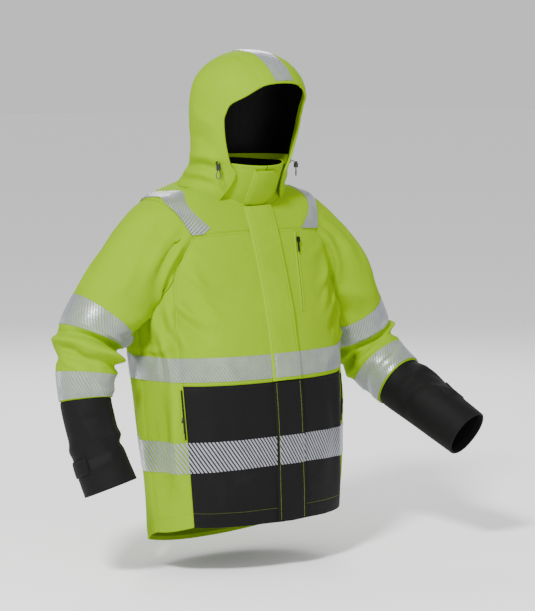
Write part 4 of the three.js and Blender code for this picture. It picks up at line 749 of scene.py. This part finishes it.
# ------------------------------------------------------------------ storm flap and chin flap
def front_pt(x, t, S=torso, tab=TORSO):
    th = th_at_x(x, t, tab); return S(th, t), normal(S, th, t)
FX = [-31.4, -30.6, -29.6, -28, -26.6, -25.6, -24.4, -22, -18, -12, -6, 0, 6, 12, 18, 24, 29, 32.4, 34.2, 35.2, 36.2, 37.6, 39.4, 40.6, 41.0, 40.6, 39.4, 37, 30, 20, 8, -6, -18, -27, -30]
FO = [-.3, 1.4, 2.6, 4.0, 4.7, 4.5, 5.0, 5.8, 6.3, 6.7, 7.0, 7.2, 7.4, 7.6, 7.7, 7.8, 7.9, 7.9, 7.7, 7.2, 7.6, 7.9, 7.8, 7.0, 6.0, 4.9, 4.3, 4.1, 4.1, 4.1, 4.0, 3.6, 3.0, 1.4, .2]
def flap(name, t0, t1, mat, S, tab, body, nodes, x_scale=1.0, end_round=0, top_curve=None, lift=0.0):
    n = max(int((t1 - t0) * (720 if S is torso else 26)), 8); ts = np.concatenate([[t0], np.linspace(t0 + .0008, t1 - .0008, n), [t1]])
    X, T = np.meshgrid(np.array(FX) * x_scale, ts); O = np.broadcast_to(np.array(FO), X.shape).copy() + lift
    if end_round:     # free corners rounded
        f = (T - t0) / (t1 - t0); yy = np.minimum(f, 1 - f) * (t1 - t0) * end_round; R = 26.; cut = np.where(yy < R, R - np.sqrt(np.maximum(R * R - (R - yy) ** 2, 0)), 0); X = np.where(X > 0, X * (41 * x_scale - cut) / (41 * x_scale), X)
    mid = (O.max(1) + 4.1) / 2; c = np.broadcast_to(np.where(np.array(FX) < -28, .2, 5.9), X.shape) + lift
    O[0] = c[0] * .6 + O[0] * .4; O[-1] = c[-1] * .6 + O[-1] * .4
    P0, N = front_pt(X, T, S, tab); w = wavy(P0 + 40, 70, .9) * np.clip((X + 28) / 50, 0, 1.3); w = w - .5 * np.exp(-(((T - t0) * 900) / 6) ** 2)
    P = P0 + N * (O + w)[..., None]; L = np.r_[0, np.cumsum(np.hypot(np.diff(np.array(FX) * x_scale), np.diff(FO)))]; vl = np.r_[0, np.cumsum(np.linalg.norm(np.diff(P[:, 12], axis=0), axis=1))]
    uv = np.stack(np.meshgrid(L, vl), -1) / 1000; nf = quads(*P.shape[:2])
    k = P.shape[1]; nv = P.shape[0]; seal = np.array([[j * k + k - 1, j * k, (j + 1) * k, (j + 1) * k + k - 1] for j in range(nv - 1)])
    caps = []
    nfx = len(FX)
    for j in (0, nv - 1):
        lo, hi = 0, k - 1
        while lo + 1 < hi:
            a = [j * k + lo, j * k + lo + 1, j * k + hi - 1, j * k + hi]; a = a if lo + 1 != hi - 1 else [a[0], a[1], a[3]]
            caps.append(a if j else a[::-1]); lo += 1; hi -= 1
    Fc = [list(x) for x in nf] + [list(x) for x in seal] + caps
    ob = make(name, P, Fc, mat, uv); OBJ[name] = ob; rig.replaces(ob, *nodes); return ob, P, N
fu, FUP, _ = flap("storm_flap_upper_cloth", WAIST + .0012, .978, LIME, torso, TORSO, "storm_flap_upper", ("storm_flap_upper",))
fl, FLP, _ = flap("storm_flap_lower_cloth", .0, WAIST - .0012, BLACK, torso, TORSO, "storm_flap_lower", ("storm_flap_lower",))
def across(ob, body, t, S=torso, tab=TORSO, x=(-31, -21)):
    a, _ = front_pt(np.array(float(x[0])), np.array(t), S, tab); b, _ = front_pt(np.array(float(x[1])), np.array(t), S, tab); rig.blend(ob, "coat_body", body, row(a), row(b))
across(fu, "storm_flap_upper", .6); across(fl, "storm_flap_lower", .15)
cf, CFP, _ = flap("chin_flap_cloth", .0, .93, LIME, collar, COLLAR, "chin_flap", ("chin_flap",), x_scale=.97, end_round=85, lift=-1.5)
across(cf, "chin_flap", .5, collar, COLLAR)
for nm, (t0, t1), body, P_ in (("flap_waist_band", TAPE_WAIST, "storm_flap_upper", None), ("flap_lower_band", TAPE_LOW, "storm_flap_lower", None)):
    hg = float(np.linalg.norm(torso(np.array(2.), np.array(t1)) - torso(np.array(2.), np.array(t0))))
    def fn(x, f):
        X = x - 25.5; T = t0 + (t1 - t0) * f; P0, N = front_pt(X, T); O = np.interp(X, FX[:24], FO[:24]); w = wavy(P0 + 40, 70, .9) * np.clip((X + 28) / 50, 0, 1.3); return P0 + N * (O + w + .25)[..., None], N
    bars(nm, fn, 65.5, hg, body=body, pitch=6.5 if nm == "flap_waist_band" else 7.6, width=4.8 if nm == "flap_waist_band" else 4.6, nodes=({"flap_waist_band": "flap_waist_tape", "flap_lower_band": "flap_lower_tape"}[nm],))

# ------------------------------------------------------------------ zips
def boxes(name, items, mat, body, nodes=(), bevel=0.0):
    """small solid blocks: (centre, x axis, y axis, z axis, half sizes)"""
    V = []; Fc = []
    cube = np.array([[x, y, z] for x in (-1, 1) for y in (-1, 1) for z in (-1, 1)], float); fs = [[0, 1, 3, 2], [4, 6, 7, 5], [0, 4, 5, 1], [2, 3, 7, 6], [0, 2, 6, 4], [1, 5, 7, 3]]
    for c, a, b, n, h in items:
        k = len(V); V += [c + a * q[0] * h[0] + b * q[1] * h[1] + n * q[2] * h[2] for q in cube]; Fc += [[i + k for i in f] for f in fs]
    ob = make(name, np.array(V), Fc, mat, np.zeros((len(V), 2)), smooth=False)
    bm = bmesh.new(); bm.from_mesh(ob.data); bmesh.ops.recalc_face_normals(bm, faces=bm.faces)
    if bevel: bmesh.ops.bevel(bm, geom=list(bm.edges), offset=bevel / 1000, segments=2, affect="EDGES", profile=.6)
    bm.to_mesh(ob.data); bm.free(); return keep(ob, body, *nodes)
def teeth_line(name, path, body, off, pitch=2.6, w=2.4, half=1.0, thick=.9, mat=None, both=True, nodes=()):
    """interlocked moulded teeth along path(v) -> (point, normal)"""
    v = np.linspace(0, 1, 600); P, N = path(v); L = np.r_[0, np.cumsum(np.linalg.norm(np.diff(P, axis=0), axis=1))]; items = []
    for i, x in enumerate(np.arange(pitch, L[-1] - 1, pitch / 2)):
        f = np.interp(x, L, v); p, n = path(np.array([f - .002, f, f + .002])); al = unit(p[2] - p[0]); nn = unit(n[1] - al * (n[1] @ al)); sd = np.cross(nn, al)
        items.append((p[1] + nn * off + sd * (w * .42 if i % 2 else -w * .42), sd, al, nn, (w * .75, pitch * .26, thick)))
    return boxes(name, items, mat or TEETH, body, nodes, 0)
strip("front_zip_right_cloth", torso, th_at_x(np.linspace(-16.5, -1.2, 8), np.full(8, .4)), np.linspace(.03, .995, 150), -2.3, ZIPT, None, False, nodes=("front_zip_right_tape",))
strip("front_zip_left_cloth", torso, th_at_x(np.linspace(1.2, 16.5, 8), np.full(8, .4)), np.linspace(.03, .995, 150), -2.3, ZIPT, None, False, nodes=("front_zip_left_tape",))
teeth_line("front_zip_teeth", lambda v: front_pt(np.zeros_like(v), .03 + .84 * v), "coat_body", -1.6)
chest = lambda v: (97.5 + (74 - 97.5) * v, .688 + (.485 - .688) * v)
def chest_path(v, dx=0.0, off=0.0):
    x, t = chest(v); P, N = front_pt(x + dx, t); return P + N * (d_torso(P) + 1.1 + off)[..., None], N
def ribbon(name, path, width, mat, body, nodes=(), n=70, prof=None, thick=.5):
    """band along path(v, dx, off), a little domed, both edges turned down"""
    v = np.linspace(0, 1, n); xs = np.array([-1, -.98, -.8, -.4, 0, .4, .8, .98, 1]) * width / 2; hs_ = np.array([-.6, thick * .5, thick, thick, thick, thick, thick, thick * .5, -.6]) if prof is None else prof
    P = np.stack([path(v, dx, h)[0] for dx, h in zip(xs, hs_)], 1); _, uv = edges(P)
    return keep(make(name, P, quads(*P.shape[:2], True), mat, uv), body, *nodes)
ribbon("chest_zip_cloth", lambda v, dx, h: chest_path(v, dx, h - .5), 7.0, ZIPT, "coat_body", ("chest_pocket_zip",), prof=np.array([-.8, .2, .3, .1, 0, .1, .3, .2, -.8]))
teeth_line("chest_zip_teeth", lambda v: chest_path(v), "coat_body", .1, pitch=2.0, w=1.3, thick=.4)
# welts either side of the chest zip
for nm, dx in (("chest_zip_right_welt", -3.3), ("chest_zip_left_welt", 3.3)):
    ribbon(nm, lambda v, d, h, dx=dx: chest_path(v, d + dx, h), 5.8, LIME, "coat_body", prof=np.array([-.8, .3, .9, 1.3, 1.4, 1.3, .9, .3, -.8]))
def side_path(s):
    def f(v, dx=0.0, off=0.0):
        t = .285 + (.2 - .285) * v; r = row_at(TORSO, t)[..., 0]; th = s * 61.6 + dx / r / D2R * .8; P = torso(th, t); N = normal(torso, th, t); return P + N * (d_torso(P) + .9 + off)[..., None], N
    return f
for side, s in SIGN.items():
    f = side_path(s)
    ribbon(f"{side}_pocket_zip_cloth", f, 6.0, ZIPL, "coat_body", (f"{side}_pocket_zip",), n=40, prof=np.array([-.8, .2, .3, .1, 0, .1, .3, .2, -.8]))
    teeth_line(f"{side}_pocket_zip_teeth", lambda v, f=f: f(v), "coat_body", -.1, pitch=2.0, w=1.1, thick=.3, mat=ZIPL)
    for nm, dx in (("front", 3.0 * -s), ("back", 3.0 * s)):
        ribbon(f"{side}_pocket_{nm}_welt", lambda v, d, h, dx=dx, f=f: f(v, d + dx, h), 5.0, BLACK if nm == "front" else LIME, "coat_body", n=40, prof=np.array([-.6, .5, 1.1, 1.5, 1.6, 1.5, 1.1, .5, -.6]))

# better materials for the small hard pieces that keep their CAD shape
def soften(node, mat, width=.5, seg=2):
    o = frame[node] if node in frame else bpy.data.objects[node]
    return o
HARD = {n: METAL for n in ("front_zip_slider", "chest_zip_slider", "chest_zip_pull", "right_pocket_zip_slider", "right_pocket_zip_pull", "left_pocket_zip_slider", "left_pocket_zip_pull")}
HARD.update({n: PLASTIC for n in ("right_cord_lock", "left_cord_lock", "right_cord_lock_button", "left_cord_lock_button")})
HARD["hanger_loop"] = ZIPT
for n, m in HARD.items():
    o = bpy.data.objects.get(n)
    if o is not None:
        meshes = [o] if o.type == "MESH" else [c for c in o.children_recursive if c.type == "MESH"]
        for c in meshes:
            for i in range(max(len(c.data.materials), 1)):
                if len(c.data.materials): c.data.materials[i] = m
                else: c.data.materials.append(m)

# ------------------------------------------------------------------ stitching
def stitches(name, lines, mat, body="coat_body", pitch=3.5, ln=2.5, rad=.34, blend=None):
    V = []; Fc = []
    for P, N in lines:
        L = np.r_[0, np.cumsum(np.linalg.norm(np.diff(P, axis=0), axis=1))]
        if L[-1] < 6: continue
        xs = np.arange(1.5, L[-1] - ln, pitch); g = lambda A, x: np.stack([np.interp(x, L, A[:, k]) for k in range(3)], -1)
        a, b, m, n = g(P, xs), g(P, xs + ln), g(P, xs + ln / 2), unit(g(N, xs + ln / 2)); al = unit(b - a); sd = np.cross(al, n)
        for i in range(len(xs)):
            k = len(V); V += [a[i] - n[i] * .15, b[i] - n[i] * .15]
            for w in (.28, .72):
                c = a[i] * (1 - w) + b[i] * w; V += [c + sd[i] * rad, c + n[i] * rad * 1.3, c - sd[i] * rad, c - n[i] * rad]
            for q in range(4):
                r_ = (q + 1) % 4; Fc += [[k, k + 2 + r_, k + 2 + q], [k + 2 + q, k + 2 + r_, k + 6 + r_, k + 6 + q], [k + 1, k + 6 + q, k + 6 + r_]]
    ob = make(name, np.array(V), Fc, mat, np.zeros((len(V), 2))); OBJ[name] = ob
    if blend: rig.blend(ob, *blend)
    else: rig.ride(ob, body)
    return ob
def along_edge(pn, edge, dist, lift=.12):
    """line at a distance from one edge of a panel"""
    p = PAN[pn]; nr = p["P"].shape[0] - p["N"].shape[0]; P = p["P"][nr:]; N = p["N"]; E = p["ed"][edge]
    ax = 1 if edge in "LR" else 0; out = []; on = []
    rng = range(P.shape[0]) if ax == 1 else range(P.shape[1])
    for i in rng:
        d = E[i] if ax == 1 else E[:, i]; Pi = P[i] if ax == 1 else P[:, i]; Ni = N[i] if ax == 1 else N[:, i]
        o = np.argsort(d)
        if d[o[-1]] < dist: continue
        out.append([np.interp(dist, d[o], Pi[o][:, k]) for k in range(3)]); on.append([np.interp(dist, d[o], Ni[o][:, k]) for k in range(3)])
    out, on = np.array(out), unit(np.array(on)); return out + on * lift, on
both = ("right", "left")
stitches("thread_black_panels", [along_edge(f"{s}_low", e, d) for s in both for e, d in (("R", 5.6), ("T", 5.6))], THREAD_K)
stitches("thread_black_hem", [along_edge(f"{s}_low", "B", 27) for s in both], THREAD_O)
stitches("thread_lime_panels", [along_edge(f"{s}_mid", e, d) for s in both for e, d in (("R", 5.6), ("T", 5.6))] + [along_edge(f"{s}_side", e, d) for s in both for e, d in (("R", 5.6), ("B", 27))]
    + [along_edge("back", e, d) for e, d in (("T", 5.6), ("B", 27))] + [along_edge("byoke", "T", 5.6)], THREAD_L)
def flap_line(P, j, lift=.15):
    Q = P[2:-2, j]; n = unit(np.cross(P[2:-2, j + 1] - P[2:-2, j - 1], P[3:-1, j] - P[1:-3, j])); n = n * np.sign(-n[:, 1:2]); return Q + n * lift, n
stitches("thread_flap_lower_free", [flap_line(FLP, 19)], THREAD, "storm_flap_lower", rad=.45)
stitches("thread_flap_upper_free", [flap_line(FUP, 19)], THREAD_L, "storm_flap_upper")
stitches("thread_flap_seam_lower", [flap_line(FLP, 5)], THREAD, blend=("coat_body", "storm_flap_lower", row(front_pt(np.array(-31.), np.array(.15))[0]), row(front_pt(np.array(-21.), np.array(.15))[0])), rad=.45)
stitches("thread_flap_seam_upper", [flap_line(FUP, 5)], THREAD_L, blend=("coat_body", "storm_flap_upper", row(front_pt(np.array(-31.), np.array(.6))[0]), row(front_pt(np.array(-21.), np.array(.6))[0])))

# cuff tabs: padded straps with two rows of stitching along them, and the pad they close on
def arm_pt(side, u, v, off):
    S = ARMS[side][0]; D = d_arm(side); P = S(u, v); c = row_at(ARMS[side][2], v); N = unit(P - c); return P + N * (D(P) + 1.0 + off)[..., None], N
for side, (ua, ub, ra, rb) in {"right": (226, 292, 296, 352), "left": (126, 60, 56, 4)}.items():
    n = 30; a = np.linspace(0, 1, n); hw = .031 * np.sqrt(np.clip(1 - np.clip((a - .8) / .2, 0, 1) ** 2, .12, 1)); w9 = np.array([-1, -1, -.93, -.6, 0, .6, .93, 1, 1]); h9 = np.array([.3, 1.6, 2.9, 3.3, 3.4, 3.3, 2.9, 1.6, .3])
    free = a[::-1] if False else a
    U = (ub + (ua - ub) * free)[:, None] + 0 * w9[None]; V = .90 + hw[:, None] * w9[None]; P, N = arm_pt(side, U, V, 0.0); endf = np.clip(1 - np.abs(a - .5) * 2, 0, .06) / .06
    P = P + N * (h9[None] * np.clip(.35 + .65 * endf, 0, 1)[:, None] + .2)[..., None]; _, uv = edges(P)
    ob = make(f"{side}_cuff_tab_cloth", P, quads(*P.shape[:2], side == "right"), BLACK, uv); keep(ob, f"{side}_cuff_tab", f"{side}_cuff_tab")
    tl = []
    for fx in (-.72, .72):
        Q, M = arm_pt(side, ub + (ua - ub) * np.linspace(.04, .9, 40), np.full(40, .90 + .031 * fx), 3.55); tl.append((Q, M))
    stitches(f"{side}_cuff_tab_thread", tl, THREAD_K, f"{side}_cuff_tab")
    Up, Vp = np.meshgrid(np.linspace(ra, rb, 24), np.linspace(.882, .918, 10)); P, N = arm_pt(side, Up, Vp, .0); e = np.minimum.outer(np.minimum(np.arange(10), np.arange(10)[::-1]), np.full(24, 9)); e2 = np.minimum(np.arange(24), np.arange(24)[::-1])[None]
    P = P + N * np.where((e > 0) & (e2 > 0), .9, -.3)[..., None]; _, uv = edges(P); keep(make(f"{side}_cuff_pad", P, quads(*P.shape[:2], side == "left"), PAD, uv), f"{side}_forearm_sleeve")
# face drawcord: an elastic loop from an eyelet on the hood, through the lock and back
def tube(path, rad, n=10):
    T = unit(np.gradient(path, axis=0)); ref = np.array([.3, .2, .93]); A_ = unit(np.cross(T, ref)); B_ = np.cross(T, A_); a = np.linspace(0, 2 * np.pi, n, endpoint=False)
    P = path[:, None] + rad * (np.cos(a)[None, :, None] * A_[:, None] + np.sin(a)[None, :, None] * B_[:, None]); m = len(path); F = []
    for j in range(m - 1):
        for i in range(n): F.append([j * n + i, j * n + (i + 1) % n, (j + 1) * n + (i + 1) % n, (j + 1) * n + i][::-1])
    F.append(list(range(n))); F.append([(m - 1) * n + i for i in range(n)][::-1]); return P, F
for side, s in SIGN.items():
    o = unit(np.array([s * .62, -.78, 0.0])); c = np.array([s * 99, -66, 711.0]) + o * 9.2; sd = np.cross(o, np.array([0, 0, 1.0]))
    st = c + o * 30 + np.array([0, 0, 9.0]); Pe, Ne = cast(hood_tree, np.array([st + sd * 2.0, st - sd * 2.0]), -o)
    ctrl = np.array([Pe[0] - o * 1.0, Pe[0] + o * 2.2 + [0, 0, 1.5], c + sd * 1.7 + [0, 0, 5.0] + o * 0, c + sd * 1.9 + [0, 0, -1], c + sd * 2.2 + [0, 0, -7], c + sd * 4.6 + [0, 0, -13], c + sd * 3.6 + [0, 0, -19], c + [0, 0, -21.5],
                     c - sd * 3.6 + [0, 0, -19], c - sd * 4.6 + [0, 0, -13], c - sd * 2.2 + [0, 0, -7], c - sd * 1.9 + [0, 0, -1], c - sd * 1.7 + [0, 0, 5.0], Pe[1] + o * 2.2 + [0, 0, 1.5], Pe[1] - o * 1.0])
    path = row_at(ctrl, np.linspace(0, 1, 120)); L = np.linalg.norm(np.diff(path, axis=0), axis=1).sum(); P, F = tube(path, .95)
    ob = make(f"{side}_drawcord_loop", P, F, CORD, np.zeros((P.shape[0] * P.shape[1], 2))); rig.ride(ob, "coat_body")
    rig.cord(ob, exit=row(path[0]), length=float(L) / 1000, diameter=.0019, far_end="object", stiffness="limp", lay="hanging", path=[row(q) for q in path])
    # blackened eyelet ring on the cloth
    a = np.linspace(0, 2 * np.pi, 25)[:-1]; mid = (Pe[0] + Pe[1]) / 2; ring = mid + o * .5 + (np.cos(a)[:, None] * sd + np.sin(a)[:, None] * np.array([0, 0, 1.0])) * 4.6; ring = np.vstack([ring, ring[:1]])
    P, F = tube(ring, .9, 8); ob = make(f"{side}_drawcord_eyelet", P, F[:-2], METAL, np.zeros((P.shape[0] * P.shape[1], 2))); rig.ride(ob, "coat_body")

# ------------------------------------------------------------------ hood joins its body
# what the soft pieces are: the quilted lining and the filled flaps are pads, the hem's facing is a strip of cloth
for nm, fill in (("quilted_lining", .3), ("storm_flap_upper_cloth", .25), ("storm_flap_lower_cloth", .25), ("chin_flap_cloth", .25)):
    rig.padded(bpy.data.objects[nm], fill=fill)
_w = float(np.linalg.norm(np.diff(HEM_F, axis=1), axis=-1).sum(1).mean()) / 1000; _l = float(np.linalg.norm(np.diff(HEM_F, axis=0), axis=-1).sum(0).mean()) / 1000
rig.sheet(bpy.data.objects["hem_facing_cloth"], flat=(_w, _l), held="hung", rests_on=["back_body"])
for o in hood_parts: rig.blend(o, "coat_body", "hood", HS, HE)

# ------------------------------------------------------------------ studio
sc = bpy.context.scene
az, el = -42 * D2R, 5.5 * D2R
Bv = np.array([math.sin(az) * math.cos(el), -math.cos(az) * math.cos(el), math.sin(el)]); Rv = np.array([math.cos(az), math.sin(az), 0.0]); Uv = np.cross(Bv, Rv)
target = (Rv * 68.7 + np.array([0, 0, 424.0]) - H) / 1000
cam_d = bpy.data.cameras.new("camera"); cam = bpy.data.objects.new("camera", cam_d); sc.collection.objects.link(cam); sc.camera = cam
cam.matrix_world = Matrix.Translation(Vector(target + Bv * 5.5)) @ Matrix(((Rv[0], Uv[0], Bv[0]), (Rv[1], Uv[1], Bv[1]), (Rv[2], Uv[2], Bv[2]))).to_4x4()
cam_d.sensor_fit = "HORIZONTAL"; cam_d.sensor_width = 36; cam_d.lens = 36 * 2683 / 535; cam_d.clip_end = 60
bpy.ops.mesh.primitive_plane_add(size=60, location=(0, 0, (-66 - 14 - 699) / 1000 - .02)); floor = bpy.context.active_object; floor.name = "floor"
fm = bpy.data.materials.new("floor"); fm.use_nodes = True; fm.node_tree.nodes["Principled BSDF"].inputs["Base Color"].default_value = (.96, .96, .96, 1); fm.node_tree.nodes["Principled BSDF"].inputs["Roughness"].default_value = .9; fm.node_tree.nodes["Principled BSDF"].inputs["Emission Color"].default_value = (1, 1, 1, 1); fm.node_tree.nodes["Principled BSDF"].inputs["Emission Strength"].default_value = .06
floor.data.materials.append(fm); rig.stage(floor)
w = bpy.data.worlds.new("studio"); sc.world = w; w.use_nodes = True; w.node_tree.nodes["Background"].inputs["Color"].default_value = (1, 1, 1, 1); w.node_tree.nodes["Background"].inputs["Strength"].default_value = .74
def area(name, pos, size, power, aim=(0, 0, -.25)):
    l = bpy.data.lights.new(name, "AREA"); l.shape = "DISK"; l.size = size; l.energy = power; o = bpy.data.objects.new(name, l); sc.collection.objects.link(o)
    o.location = pos; o.rotation_euler = (Vector(aim) - Vector(pos)).to_track_quat("-Z", "Y").to_euler(); return o
area("key", (-3.3, -1.9, 3.0), .8, 400)
area("fill", (-.2, -4.0, .9), 2.4, 34)
area("rim", (2.2, 2.4, 1.6), 1.6, 60)

BOX1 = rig.bounds()
flat = lambda b: [[float(x) for x in np.ravel(v)] for v in b] if hasattr(b, "__len__") else b
with open("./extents.json", "w") as f:
    json.dump({"cad": [[float(x) for x in v] for v in BOX0], "visual": [[float(x) for x in v] for v in BOX1]}, f)
